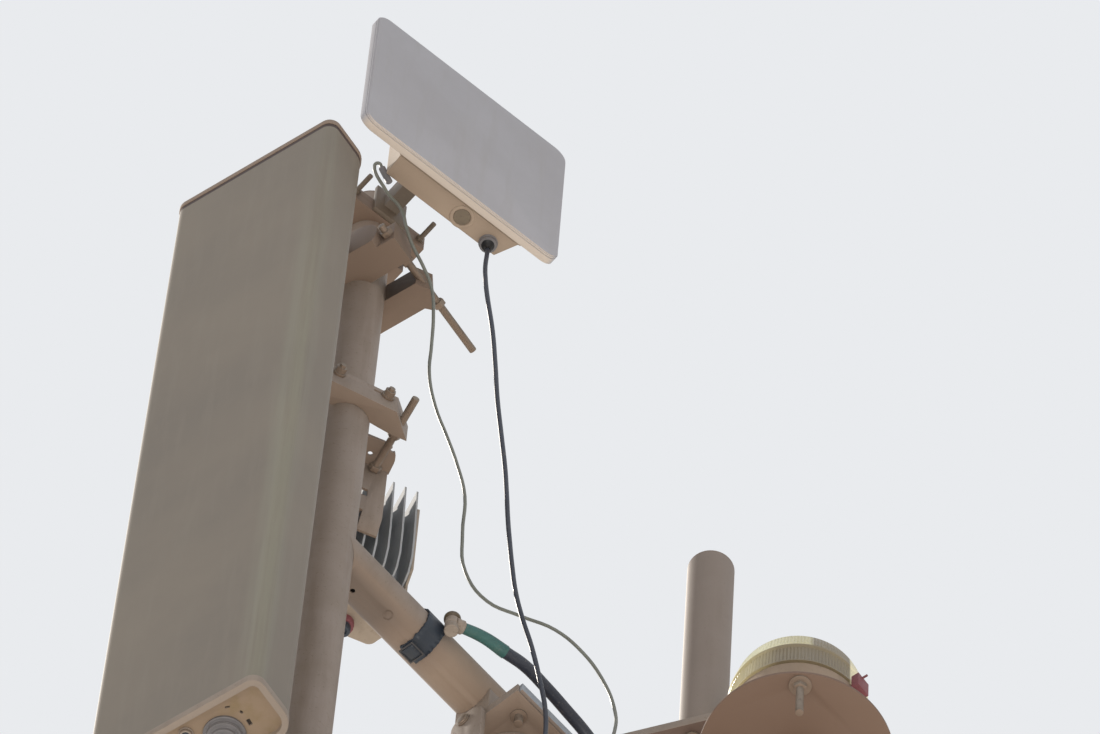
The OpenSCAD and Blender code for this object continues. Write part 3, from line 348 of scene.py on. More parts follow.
def arm_zones(tree, coords, colour):
    """The arm darker near the antenna's pole and lighter towards the mast, its dent, and painted shade inside
    it.
    """
    depth = away(tree, coords, MAST_AT, (1, 0, 1))
    reach = along(tree, coords, BACK)
    arm = overlap(tree, rise(tree, depth, *ON_ARM), rise(tree, reach, *ARM_START))
    below = rise(tree, along(tree, coords, RIGHT), *ARM_UNDERSIDE)
    # Darker on the arm's underside near the antenna's pole
    darker_stretch = overlap(tree, arm, below, rise(tree, reach, *DARKER_STRETCH_START))
    colour = lay(tree, darker_stretch, colour, "#6b5e55", 0.85)
    # Lighter on the arm towards the mast
    lighter_stretch = overlap(tree, arm, rise(tree, reach, *LIGHTER_STRETCH_END))
    colour = lay(tree, lighter_stretch, colour, "#a08d7c", 0.5)
    rim = band(tree, away(tree, coords, DENT_AT), 7.2 * MM, 0.6 * MM, 1.4 * MM)
    worn = overlap(tree, rim, blotches(tree, coords, 9 * MM, 0.42, 0.55))
    colour = lay(tree, worn, colour, "#54443a", 0.7)
    # Painted shade inside the arm's tube
    inside = overlap(tree, arm, rise(tree, depth, *INSIDE_ARM))
    return lay(tree, inside, colour, "#15110f", 0.97)


def black_zones(tree, coords, colour):
    """Painted shade on the link radio's gland, which the panel keeps out of the sun."""
    gland = rise(tree, along(tree, coords, UP), *GLAND_HEIGHT)
    # A deeper black than the plastic elsewhere: painted shade
    return lay(tree, gland, colour, "#0f0f12", 0.9)


def radome_zones(tree, coords, colour):
    """The pale green strip that grows down the cover's right side, and the painted shadow under its top cap's
    lip.
    """
    height = along(tree, coords, UP)
    rightward = along(tree, coords, heading(ANTENNA_TURN), POLE_AT)
    outward = along(tree, coords, heading(ANTENNA_TURN - math.pi / 2), POLE_AT)
    strip = band(tree, rightward, 121 * MM, 10 * MM, 28 * MM)
    drips = blotches(tree, coords, 12 * MM, 0.25, 0.6, 3.0, (1, 1, 0.03))
    stain = overlap(tree, strip, rise(tree, outward, *COVER_FRONT), drips, rise(tree, height, *STRIP_FADE))
    colour = lay(tree, stain, colour, "#8f8f7e", 0.5)
    cap_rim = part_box("antenna_top_cap")[0].z
    # Painted shadow of the top cap's lip on the cover
    seam_shadow = rise(tree, height, cap_rim - 10.5 * MM, cap_rim - 9 * MM)
    return lay(tree, seam_shadow, colour, "#36231f", 0.95)


def cap_zones(tree, coords, colour):
    """The yellowed floor inside the bottom cap's rim with painted shade in its slots, and the browner top
    cap.
    """
    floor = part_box("antenna_connectors")[1].z
    height = along(tree, coords, UP)
    underside = facing(tree, -0.5, -0.9)
    sunk = overlap(tree, rise(tree, height, floor - 2 * MM, floor - 1 * MM), underside)
    colour = lay(tree, sunk, colour, "#907c67", 0.9)
    stained = overlap(tree, sunk, blotches(tree, coords, 30 * MM, 0.45, 0.65))
    colour = lay(tree, stained, colour, "#847252", 0.6)
    # Painted shade inside the slots
    slots = overlap(tree, rise(tree, height, floor + 1 * MM, floor + 2 * MM), underside)
    colour = lay(tree, slots, colour, "#241c18", 0.95)
    return lay(tree, rise(tree, height, *UPPER_CAP), colour, "#8a786b", 0.8)


def fitting_zones(tree, coords, colour):
    """The dark lid on the feeder's fitting."""
    lid = rise(tree, along(tree, coords, UP), ARM_Z + 9.5 * MM, ARM_Z + 10 * MM)
    return lay(tree, lid, colour, "#564a39", 0.95)


def lens_zones(tree, coords, colour):
    """Painted sunlight shining through the lens on its sunny side, brightest on its upper tier, and a painted
    glow at its right end, with the lens's own darker amber between.
    """
    low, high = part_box("beacon_lens")
    middle = (low + high) / 2
    sunward = along(tree, coords, SUNNY_SIDE, middle)
    upper_tier = rise(tree, along(tree, coords, UP), low.z + 52 * MM, low.z + 54 * MM)
    pale = overlap(tree, upper_tier, rise(tree, sunward, -24 * MM, -16 * MM))
    # Painted sunlight through the lens's sunny side and its upper tier, and a painted glow at its right end
    colour = lay(tree, rise(tree, sunward, 30 * MM, 90 * MM), colour, "#e6dbab", 0.85)
    colour = lay(tree, pale, colour, "#e2dcb2", 0.85)
    brightest = overlap(tree, pale, rise(tree, sunward, 0, 50 * MM))
    colour = lay(tree, brightest, colour, "#fdfbd8", 0.95)
    rightward = along(tree, coords, heading(LENS_GLOW_TURN), middle)
    glow = rise(tree, rightward, 70.5 * MM, 72.5 * MM)
    return lay(tree, glow, colour, "#fbf6d4", 0.85)


def housing_zones(tree, coords, colour):
    """The painted shadow in the gap between the housing and the panel."""
    outward = along(tree, coords, heading(LINK_TURN), POLE_AT)
    # Painted shadow in the gap between housing and panel
    seam_shadow = band(tree, outward, 217.2 * MM, 1.4 * MM, 0.3 * MM)
    return lay(tree, seam_shadow, colour, "#1f1916")


def weathered(name, coat, shade, speck, under=None, dust=None, patch=0.09, streak=0.35, specks=0.5,
              dusting=0.5, roughness=0.62, metallic=0.0, relief=0.25, zones=None):
    """Coat with broad patches, rain streaks, small specks, dust on top and painted warm ground light
    underneath.
    """
    material, tree, shader = new_material(name, roughness, metallic)
    coords = add(tree, "ShaderNodeTexCoord").outputs["Object"]
    colour = lay(tree, blotches(tree, coords, patch, 0.35, 0.68), coat, shade)
    runs = blotches(tree, coords, 22 * MM, 0.5, 0.74, 3.0, (1, 1, 0.09))
    colour = lay(tree, runs, colour, speck, streak)
    dots = blotches(tree, coords, 5 * MM, 0.62, 0.72, 2.0)
    colour = lay(tree, dots, colour, speck, specks)
    if under:
        # Downward faces take a warmer colour: painted light bounced up from the ground
        colour = lay(tree, facing(tree, -0.35, -0.9), colour, under, 0.85)
    if zones:
        colour = zones(tree, coords, colour)
    if dust:
        settled = overlap(tree, facing(tree, 0.15, 0.85), blotches(tree, coords, 30 * MM, 0.3, 0.6))
        colour = lay(tree, settled, colour, dust, dusting)
    tree.links.new(colour, shader.inputs["Base Color"])
    # The real grain is finer, and is drawn this coarse so that it shows
    grain = add(tree, "ShaderNodeTexNoise", {"Scale": 1 / (1.6 * MM), "Detail": 2.0}, {"Vector": coords})
    bump = add(tree, "ShaderNodeBump", {"Strength": relief, "Distance": 0.4 * MM},
               {"Height": grain.outputs["Fac"]})
    tree.links.new(bump.outputs["Normal"], shader.inputs["Normal"])
    return material


def finishes(colours):
    """One material for each material slot of the record."""
    steel, under, dust = colours.steel, colours.steel_under, colours.dust
    return {
        # Galvanised steel under brushed beige paint: chalky, with painted warm ground light below and dust on
        # top
        "dusty_steel": weathered("painted_galvanised_steel", steel, "#8d8177", "#75665a", under, dust,
                                 zones=steel_zones),
        # Powder-coated bar in pale blue-grey, washed clean by rain
        "pale_steel": weathered("pale_powder_coat", "#a9b2bd", "#99a1ab", "#77706c", under, dust),
        # Hot-dip zinc gone dull: grey with tan dust in its threads
        "zinc_steel": weathered("dull_zinc", "#8d8378", "#7a6d62", "#5d4e43", under, dust, patch=0.02,
                                roughness=0.5, metallic=0.35),
        # Polyethylene plug, chalked by the sun
        "cap_plastic": weathered("chalked_polyethylene", "#84776d", "#766a61", "#5a4e46", under, dust),
        # Pultruded glass-fibre cover with a film of dust and long faint rain streaks
        "antenna_skin": weathered("glass_fibre_cover", colours.radome, "#776f65", "#878074", None, dust,
                                  patch=0.3, streak=0.3, specks=0.1, roughness=0.55, relief=0.12,
                                  zones=radome_zones),
        # Moulded ASA cap, cream gone dusty
        "antenna_cap_paint": weathered("moulded_cap", "#998c81", "#8a7d71", "#6f6158", "#92867c", dust,
                                       zones=cap_zones),
        # Grey moulded polyamide, with a faint gloss under its dust
        "connector_plastic": weathered("grey_polyamide", "#7c7a7d", "#6b6a6d", "#575150", None, dust,
                                       roughness=0.45),
        # Off-white moulded polycarbonate face, evenly dusty, with painted warm ground light on its lower edge
        "link_skin": weathered("polycarbonate_face", colours.link_face, "#a4a3a9", "#98938f", "#d2c5b8",
                               dust, patch=0.2, streak=0.2, specks=0.1, roughness=0.5, relief=0.06),
        # Die-cast aluminium in cream powder coat, smooth and matt
        "housing_paint": weathered("cream_powder_coat", "#b8a998", "#aa9b8b", "#857464", "#a79483", dust,
                                   streak=0.25, zones=housing_zones),
        # Rubber plug, faded to a matt brown
        "plug_plastic": weathered("faded_rubber", "#7d7161", "#6f6456", "#574c41", None, dust),
        # Black polyamide, dusty, with a slight blue of painted sky reflection
        "black_plastic": weathered("black_polyamide", "#27303c", "#323b48", "#4f4c49", None, dust,
                                   roughness=0.45, zones=black_zones),
        # Zinc-plated pressed steel, brown with dust
        "bracket_paint": weathered("dusty_pressed_steel", "#6e6357", "#5f554b", "#4b4239", None, dust,
                                   roughness=0.5),
        # Die-cast aluminium shell in beige powder coat, with a faint satin
        "radio_shell": weathered("beige_powder_coat", "#a89a8b", "#978a7c", "#75685b", None, dust,
                                 roughness=0.55),
        # Die-cast aluminium fins in grey powder coat, with pale dust on their top edges made near-white as
        # painted sunlight
        "radio_paint": weathered("grey_cast_fins", "#aeb2b6", "#9ea2a7", "#8f877e", None, "#e4ded2",
                                 dusting=0.95, roughness=0.55),
        # Brass under dust, with no shine left
        "fitting_metal": weathered("dull_brass", "#a3978c", "#93877c", "#6d6155", None, dust, patch=0.02,
                                   roughness=0.5, zones=fitting_zones),
        # Green heat-shrink sleeve, dull where it is rubbed
        "green_sleeve": weathered("green_heat_shrink", "#3f6d6b", "#365e5c", "#6d776c", None, dust,
                                  patch=0.03, roughness=0.5),
        # Black polyethylene jacket, greyed by dust, with a slight blue of painted sky reflection
        "cable_black": weathered("polyethylene_jacket", "#313643", "#3c414d", "#66625f", None, dust,
                                 patch=0.04, streak=0.1, roughness=0.4),
        # Grey-green PVC jacket, with a slight gloss
        "cable_olive": weathered("pvc_jacket", "#7c807a", "#70736e", "#8f8b82", None, dust, patch=0.04,
                                 streak=0.1, roughness=0.4),
        # Glass-filled polyamide, dark grey and matt
        "clamp_plastic": weathered("glass_filled_polyamide", "#454549", "#3b3b3e", "#625c56", None, dust),
        # Enamelled sheet steel, beige with brown runs
        "beacon_paint": weathered("beige_enamel", "#a8937f", "#9a8672", "#7a6858", under, dust),
        # Pressed amber acrylic, faded and hazed by dust, with painted sunlight shining through it
        "amber_lens": weathered("hazed_amber_acrylic", colours.lens, "#7b6f59", "#6c614f", None, dust,
                                streak=0.2, specks=0.2, roughness=0.3, relief=0.05, zones=lens_zones),
        # Red PVC, chalked to a greyish pink
        "red_plastic": weathered("faded_red_pvc", "#8c5158", "#7d474d", "#5f3f41", None, dust, patch=0.02),
    }


# Modelling helpers

def only(piece):
    """Selects one object and nothing else."""
    bpy.ops.object.select_all(action="DESELECT")
    piece.select_set(True)
    bpy.context.view_layer.objects.active = piece


def apply_modifier(piece, kind, **settings):
    """Adds a modifier with its settings and applies it."""
    only(piece)
    modifier = piece.modifiers.new(kind.lower(), kind)
    for key, value in settings.items():
        setattr(modifier, key, value)
    bpy.ops.object.modifier_apply(modifier=modifier.name)


def paint(piece, slot):
    """Puts a slot's finish on a piece or a solid."""
    piece.data.materials.clear()
    piece.data.materials.append(bpy.data.materials[bpy.context.scene["finish_" + slot]])


def settle(piece, slot, *covered, angle=30):
    """Smooths a finished piece, finishes it and lets it stand for the solids it covers."""
    only(piece)
    bpy.ops.object.shade_smooth_by_angle(angle=math.radians(angle))
    paint(piece, slot)
    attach(piece, "root")
    if covered:
        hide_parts(*covered)


def put(piece, name, place):
    """Names a piece modelled around the origin and moves its mesh to its place."""
    piece.name = name
    piece.matrix_world = place @ piece.matrix_world
    only(piece)
    bpy.ops.object.transform_apply(location=True, rotation=True, scale=True)
    return piece


def joined(pieces):
    """Makes several pieces one."""
    bpy.ops.object.select_all(action="DESELECT")
    for piece in pieces:
        piece.select_set(True)
    bpy.context.view_layer.objects.active = pieces[0]
    bpy.ops.object.join()
    return pieces[0]


def spot(turn, x=0.0, y=0.0, z=0.0, about=POLE_AT):
    """A place in millimetres from an upright axis, in a frame turned about it."""
    return (Matrix.Translation(about) @ Matrix.Rotation(turn, 4, "Z")
            @ Matrix.Translation(Vector((x, y, z)) * MM))


def merged_copy(node):
    """A copy of a solid with its loose triangles joined to whole faces."""
    piece = bpy.data.objects.new("dressed_" + node, nodes[node].data.copy())
    bpy.context.scene.collection.objects.link(piece)
    only(piece)
    bpy.ops.object.mode_set(mode="EDIT")
    bpy.ops.mesh.select_all(action="SELECT")
    bpy.ops.mesh.remove_doubles(threshold=0.01 * MM)
    bpy.ops.mesh.dissolve_limited(angle_limit=math.radians(0.5))
    bpy.ops.object.mode_set(mode="OBJECT")
    return piece


def carve(piece, cutter):
    """Cuts one closed piece out of another."""
    apply_modifier(piece, "BOOLEAN", object=cutter, operation="DIFFERENCE", solver="EXACT")
    bpy.data.objects.remove(cutter)


def round_corners(piece, radius, turn, reach):
    """Rounds a case's tall upright corners that lie behind a distance from the pole."""
    bpy.ops.object.mode_set(mode="EDIT")
    bpy.ops.mesh.select_mode(type="EDGE")
    bpy.ops.mesh.select_all(action="DESELECT")
    bpy.ops.object.mode_set(mode="OBJECT")
    forwards = heading(turn)
    points = piece.data.vertices
    for edge in piece.data.edges:
        start, end = [points[index].co for index in edge.vertices]
        run = end - start
        tall = abs(run.normalized().z) > 0.999 and run.length > 100 * MM
        edge.select = tall and (POLE_AT - start).dot(forwards) > reach
    bpy.ops.object.mode_set(mode="EDIT")
    bpy.ops.mesh.bevel(offset=radius, offset_type="WIDTH", segments=6)
    bpy.ops.object.mode_set(mode="OBJECT")


def rounded_copy(node, radius, segments=2, cutters=(), corners=None):
    """Puts a copy in a solid's place, cut by closed pieces and then rounded at its edges."""
    piece = merged_copy(node)
    for cutter in cutters:
        carve(piece, cutter)
    if corners:
        round_corners(piece, *corners)
    apply_modifier(piece, "BEVEL", width=radius, segments=segments, limit_method="ANGLE",
                   angle_limit=math.radians(35))
    settle(piece, slot_of[node], node)


def turned(profile, segments=48):
    """A turned piece around the origin, drawn step by step out of a disc from radii and heights in mm."""
    bpy.ops.object.select_all(action="DESELECT")
    radius, height = profile[0]
    bpy.ops.mesh.primitive_circle_add(vertices=segments, radius=radius * MM, fill_type="NGON")
    piece = bpy.context.object
    bpy.ops.object.mode_set(mode="EDIT")
    bpy.ops.mesh.select_all(action="SELECT")
    bpy.ops.transform.translate(value=(0, 0, height * MM))
    for wider, higher in profile[1:]:
        bpy.ops.mesh.extrude_region_move(
            TRANSFORM_OT_translate={"value": (0, 0, (higher - height) * MM)})
        bpy.ops.transform.resize(value=(wider / radius, wider / radius, 1),
                                 center_override=(0, 0, higher * MM))
        radius, height = wider, higher
    bpy.ops.mesh.select_all(action="SELECT")
    bpy.ops.mesh.normals_make_consistent(inside=False)
    bpy.ops.object.mode_set(mode="OBJECT")
    return piece


def ribbed(piece, segments, low, high, depth):
    """Presses every second column of a turned piece inwards between two heights in mm."""
    bpy.ops.object.mode_set(mode="EDIT")
    bpy.ops.mesh.select_mode(type="VERT")
    bpy.ops.mesh.select_all(action="DESELECT")
    bpy.ops.object.mode_set(mode="OBJECT")
    reach = 0
    for vertex in piece.data.vertices:
        column = round(math.atan2(vertex.co.y, vertex.co.x) * segments / math.tau)
        vertex.select = column % 2 == 0 and low * MM <= vertex.co.z <= high * MM
        if vertex.select:
            reach = max(reach, vertex.co.xy.length)
    shrink = 1 - depth * MM / reach
    bpy.ops.object.mode_set(mode="EDIT")
    bpy.ops.transform.resize(value=(shrink, shrink, 1), center_override=(0, 0, 0))
    bpy.ops.object.mode_set(mode="OBJECT")


def roughen(piece, size, strength, direction="NORMAL"):
    """Pushes a piece's surface in and out in clouds of that size in metres."""
    clouds = bpy.data.textures.new("clouds", "CLOUDS")
    clouds.noise_scale = size
    apply_modifier(piece, "DISPLACE", texture=clouds, strength=strength, direction=direction,
                   texture_coords="LOCAL", mid_level=0.5)


def threaded(diameter, pitch, start, end):
    """A closed 60 degree thread along X between two distances in millimetres."""
    tip = pitch * MM / math.sqrt(3)
    crest = diameter / 2 * MM + bpy.context.scene.mast_sizes.crest
    bpy.ops.object.select_all(action="DESELECT")
    bpy.ops.mesh.primitive_circle_add(vertices=3, radius=tip, rotation=(math.pi / 2, 0, 0))
    piece = put(bpy.context.object, "thread", Matrix.Translation((start * MM, 0, crest - tip)))
    apply_modifier(piece, "SCREW", axis="X", screw_offset=pitch * MM, iterations=int((end - start) / pitch),
                   steps=12, render_steps=12, use_normal_calculate=True)
    bpy.ops.object.mode_set(mode="EDIT")
    bpy.ops.mesh.select_all(action="SELECT")
    bpy.ops.mesh.fill_holes(sides=3)
    bpy.ops.mesh.normals_make_consistent(inside=False)
    bpy.ops.object.mode_set(mode="OBJECT")
    return piece


def thread_rods(name, node, diameter, pitch, start, end, places):
    """Threads a clamp's rods, which lie along X at their places."""
    piece = joined([put(threaded(diameter, pitch, start, end), "rod", place) for place in places])
    settle(piece, slot_of[node], angle=60)
    piece.name = name


class MAST_OT_finishes(Operator):
    """Makes every finish and puts it on the solids"""

    bl_idname = "mast.finishes"
    bl_label = "Finishes"

    def execute(self, context):
        for slot, material in finishes(context.scene.mast_colours).items():
            context.scene["finish_" + slot] = material.name
        for name, node in nodes.items():
            paint(node, slot_of[name])
        return {"FINISHED"}


class MAST_OT_camera(Operator):
    """Places the camera at the photograph's viewing angle"""

    bl_idname = "mast.camera"
    bl_label = "Camera"

    def execute(self, context):
        right = CAMERA_RIGHT.normalized()
        back = right.cross(CAMERA_UP).normalized()
        up = back.cross(right)
        data = bpy.data.cameras.new("camera")
        data.sensor_width = 36
        data.lens = FOCAL_LENGTH / IMAGE_WIDTH * data.sensor_width
        data.clip_end = 100
        camera = bpy.data.objects.new("camera", data)
        context.scene.collection.objects.link(camera)
        turn = Matrix((right, up, back)).transposed().to_4x4()
        camera.matrix_world = Matrix.Translation(CAMERA_AT) @ turn
        context.scene.camera = camera
        return {"FINISHED"}


def tube_through(name, node, route, diameter, swell=(1, 1)):
    """A round cable through the points of its route, which stands for its solid."""
    points = [Vector(point) * MM + MAST_AT for point in route]
    curve = bpy.data.curves.new(name, "CURVE")
    curve.dimensions = "3D"
    curve.bevel_depth = diameter / 2 * MM
    curve.bevel_resolution = 4
    curve.resolution_u = 5
    curve.use_fill_caps = True
    spline = curve.splines.new("BEZIER")
    spline.bezier_points.add(len(points) - 1)
    for index, (knot, point) in enumerate(zip(spline.bezier_points, points)):
        knot.co = point
        knot.handle_left_type = knot.handle_right_type = "AUTO"
        knot.radius = swell[0] + (swell[1] - swell[0]) * index / (len(points) - 1)
    piece = bpy.data.objects.new(name, curve)
    bpy.context.scene.collection.objects.link(piece)
    paint(piece, slot_of[node])
    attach(piece, "root")
    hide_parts(node)
    return piece, points


def lay_cable(name, node, route, diameter):
    """A cable that hangs along its route."""
    piece, points = tube_through(name, node, route, diameter)


class MAST_OT_cables(Operator):
    """Lays the three cables along their routes, with the feeder's sleeve and end fitting"""

    bl_idname = "mast.cables"
    bl_label = "Cables"

    def execute(self, context):
        lay_cable("thin_cable", "cable_a", THIN_CABLE_ROUTE, THIN_CABLE_DIAMETER)
        lay_cable("link_cable", "cable_b", LINK_CABLE_ROUTE, LINK_CABLE_DIAMETER)

        low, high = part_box("coax_fitting")
        middle = Vector(((low.x + high.x) / 2, (low.y + high.y) / 2, ARM_Z))
        fitting = turned([(10, -22), (11, -21), (11, -8), (10.2, -7), (10.2, -5), (11, -4), (11, 8),
                          (9.8, 9), (9.8, 11), (12.2, 12), (13, 13), (13, 17), (12.2, 19), (9, 20.6),
                          (3, 21)])
        put(fitting, "feeder_fitting", Matrix.Translation(middle))
        settle(fitting, slot_of["coax_fitting"], "coax_fitting")
        sleeve, points = tube_through("feeder_sleeve", "coax_sleeve", SLEEVE_ROUTE, SLEEVE_DIAMETER,
                                      swell=(0.8, 1))
        along_sleeve = (points[1] - points[0]).to_track_quat("Z", "Y").to_matrix().to_4x4()
        neck = turned([(10.4, 2), (11.2, 3), (11.2, 9), (10.6, 10), (10.6, 11), (11.2, 12), (11.2, 15),
                       (9.4, 17)])
        put(neck, "sleeve_neck", Matrix.Translation(points[0]) @ along_sleeve
            @ Matrix.Translation((0, 0, -6 * MM)))
        settle(neck, slot_of["coax_fitting"])
        lay_cable("feeder_cable", "coax_cable", COAX_ROUTE, COAX_DIAMETER)
        return {"FINISHED"}


class MAST_OT_rounded(Operator):
    """Rounds the edges of the plates, clamps, cases, bolts and nuts"""

    bl_idname = "mast.rounded"
    bl_label = "Rounded pieces"

    def execute(self, context):
        sizes = context.scene.mast_sizes
        for node in ("base_flange", "base_gussets", "mast_top_flange", "head_plate", "head_side_bars",
                     "arm_saddles", "arm_strap_plate", "mast_lug", "side_bar", "beacon_plate",
                     "antenna_brackets", "radio_bracket", "link_yoke", "link_bracket", "pole_caps",
                     "arm_end_cap", "beacon_clip"):
            rounded_copy(node, sizes.edge)
        for node in ("antenna_clamps_near", "antenna_clamps_far", "radio_clamp_front",
                     "link_clamp_front", "link_clamp_back", "cable_clamps"):
            rounded_copy(node, sizes.cast_edge, 3)
        for node in ("antenna_top_cap", "link_panel", "link_housing", "beacon_base"):
            rounded_copy(node, 2 * sizes.edge, 3)
        rounded_copy("radio_body", 2 * sizes.edge, 3,
                     corners=(RADIO_CORNER, RADIO_TURN, RADIO_REACH * MM))
        for node in ("head_bolts", "arm_strap_bolts", "antenna_clamp_rods", "link_clamp_rods",
                     "radio_clamp_bolts", "radio_clamp_rods", "side_pole_bolts", "beacon_bolts"):
            rounded_copy(node, sizes.bolt_edge)
        return {"FINISHED"}


class MAST_OT_antenna(Operator):
    """Cuts the slots in the antenna's bottom cap and makes the connectors below it"""

    bl_idname = "mast.antenna"
    bl_label = "Antenna's underside"

    def execute(self, context):
        floor = above_arm(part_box("antenna_connectors")[1].z)
        slots = []
        for x, y, turn, length, width in ((62.9, -248.5, 20, 7, 3), (75, -231.5, 70, 5, 4),
                                          (75.4, -212.3, 95, 10, 6)):
            bpy.ops.mesh.primitive_cube_add(size=MM, scale=(length, width, 7))
            slots.append(put(context.object, "slot", spot(ANTENNA_TURN, x, y, floor)
                             @ Matrix.Rotation(math.radians(turn), 4, "Z")))
        rounded_copy("antenna_bottom_cap", 2 * context.scene.mast_sizes.edge, 3, cutters=slots)

        middle, connector_row, port_row = -20, -214, -244
        collars = []
        for side in (-55, 55):
            collar = turned([(31, 0), (31, -4), (29.5, -5), (27, -5), (26, -6), (26, -8.5), (24.8, -9.2),
                             (24.8, -10.4), (26, -11), (26, -13), (25, -14), (21, -14), (20, -15), (20, -21),
                             (19, -22), (13, -22), (12, -23), (12, -33), (11, -34), (8, -34), (7.6, -29)], 72)
            ribbed(collar, 72, low=-8.6, high=-6.5, depth=1.0)
            collars.append(put(collar, "collar", spot(ANTENNA_TURN, middle + side, connector_row, floor)))
        ports = joined(collars)
        settle(ports, slot_of["antenna_connectors"], "antenna_connectors")
        ports.name = "antenna_ports"

        port_at = spot(ANTENNA_TURN, middle + 10, port_row, floor)
        port = turned([(11, 0), (11, -1.5), (9.5, -2.5), (9.5, -7), (8.8, -8), (7, -8), (6.5, -7.4),
                       (6.5, -2)])
        settle(put(port, "antenna_port", port_at), "antenna_cap_paint")
        plug = turned([(6.4, -1.5), (6.4, -3), (5.6, -3.6), (2, -3.6), (1.6, -2.8)])
        settle(put(plug, "port_plug", port_at), "black_plastic")
        return {"FINISHED"}


class MAST_OT_link(Operator):
    """Makes the plug, the gland and their collars under the link radio"""

    bl_idname = "mast.link"
    bl_label = "Link radio's underside"

    def execute(self, context):
        sunk = 2
        floor = above_arm(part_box("link_housing")[0].z) + sunk
        plug_at = spot(LINK_TURN, 192, 45, floor)
        plug = turned([(13.9, 3), (13.9, -0.2), (13.2, -0.8), (6, -1), (3, -0.8)])
        settle(put(plug, "plug", plug_at), slot_of["link_plug"], "link_plug")
        boss = turned([(20, 0.2), (19.4, -1.4), (18.6, -1.8), (15.6, -1.8), (14.8, -1.4), (14.6, 0.1)])
        settle(put(boss, "plug_boss", plug_at), slot_of["link_housing"])

        x, y, _ = LINK_CABLE_ROUTE[0]
        below = spot(0, x, y, floor, MAST_AT)
        nut = turned([(15.5, 0), (15.5, -1.6), (14.6, -2), (14.6, -7.4), (13.6, -8.6), (10, -8.8)], 36)
        ribbed(nut, 36, low=-7.5, high=-1.9, depth=0.9)
        settle(put(nut, "gland_nut", below), "connector_plastic")
        boot = turned([(10.4, -7), (10.4, -9.6), (9.2, -10.2), (9.2, -12.4), (8.3, -12.9), (8.3, -15.2),
                       (7.5, -15.7), (7.5, -18), (6.8, -18.5), (6.8, -21), (6.1, -21.5), (5.4, -25)])
        settle(put(boot, "gland_boot", below), slot_of["link_gland"], "link_gland")
        return {"FINISHED"}


class MAST_OT_radio(Operator):
    """Makes the radio's connectors, with the red dust cap on one of them"""

    bl_idname = "mast.radio"
    bl_label = "Radio's connectors"

    def execute(self, context):
        floor = above_arm(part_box("radio_body")[0].z)
        places = [spot(RADIO_TURN, -RADIO_REACH, y, floor) for y in (-90, -30, 30, 90)]
        plugs = []
        for place in places:
            plug = turned([(15, 0), (15, -4), (14, -5), (11.5, -5), (11.5, -12), (10.6, -12.6), (10.6, -14),
                           (11.5, -14.6), (11.5, -24), (10.8, -27), (9.5, -28), (6, -28), (5.6, -24)], 36)
            ribbed(plug, 36, low=-24.1, high=-14.5, depth=0.8)
            plugs.append(put(plug, "connector", place))
        ports = joined(plugs)
        settle(ports, slot_of["radio_connectors"], "radio_connectors")
        ports.name = "radio_ports"
        cap = turned([(15.4, -0.1), (15.8, -1), (15.8, -11), (14.6, -13), (12, -13.4)], 36)
        ribbed(cap, 36, low=-11.1, high=-0.9, depth=0.7)
        settle(put(cap, "dust_cap", places[-1]), "red_plastic")
        return {"FINISHED"}


class MAST_OT_strap(Operator):
    """Wraps the worn strap around the arm, with its buckle, and dents the arm"""

    bl_idname = "mast.strap"
    bl_label = "Arm and strap"

    def execute(self, context):
        strap = merged_copy("coax_strap")
        bpy.ops.object.mode_set(mode="EDIT")
        bpy.ops.mesh.select_all(action="SELECT")
        bpy.ops.mesh.quads_convert_to_tris()
        bpy.ops.mesh.subdivide(number_cuts=3)
        bpy.ops.object.mode_set(mode="OBJECT")
        roughen(strap, 9 * MM, 5 * MM, "Y")
        roughen(strap, 14 * MM, 1.2 * MM, "Z")
        settle(strap, slot_of["coax_strap"], "coax_strap")
        bpy.ops.object.select_all(action="DESELECT")
        bpy.ops.mesh.primitive_torus_add(major_segments=4, minor_segments=8, major_radius=18 * MM,
                                         minor_radius=1.8 * MM, rotation=(0, 0, math.radians(45)))
        apply_modifier(context.object, "BEVEL", width=3 * MM, segments=3, limit_method="ANGLE",
                       angle_limit=math.radians(60))
        under = (spot(0, 0, -225, 0, MAST_AT) @ Matrix.Rotation(math.radians(186), 4, "Y")
                 @ Matrix.Translation((0, 0, 46.5 * MM)))
        settle(put(context.object, "buckle", under), "clamp_plastic")

        sizes = context.scene.mast_sizes
        ball_at = DENT_AT + DENT_TOWARDS * (DENT_RADIUS - sizes.dent)
        bpy.ops.object.select_all(action="DESELECT")
        bpy.ops.mesh.primitive_uv_sphere_add(segments=48, ring_count=24, radius=DENT_RADIUS,
                                             rotation=(math.pi / 2, 0, 0))
        ball = put(context.object, "ball", Matrix.Translation(ball_at))
        rounded_copy("arm_tube", sizes.edge, cutters=[ball])
        return {"FINISHED"}


class MAST_OT_lens(Operator):
    """Makes the beacon's lens, with two tiers of upright ribs and a smooth ridge between them"""

    bl_idname = "mast.lens"
    bl_label = "Beacon lens"

    def execute(self, context):
        floor = above_arm(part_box("beacon_lens")[0].z)
        columns = 2 * context.scene.mast_sizes.lens_ribs
        lens = turned([(107, 0), (107, 2.6), (106, 4), (105.6, 6), (104.6, 25), (103.6, 44), (103.2, 46.5),
                       (104.2, 49), (105, 51), (105, 55.5), (104, 57.5), (102.6, 60), (99.6, 76), (96.8, 90),
                       (95, 94.5), (91, 98), (86, 99.6), (73, 101), (40, 101)], columns)
        for low, high in ((5.5, 45), (59, 91)):
            ribbed(lens, columns, low, high, depth=1.8)
        put(lens, "ribbed_lens", spot(BEACON_TURN, BEACON_REACH, 0, floor, MAST_AT))
        settle(lens, slot_of["beacon_lens"], "beacon_lens", angle=20)
        return {"FINISHED"}


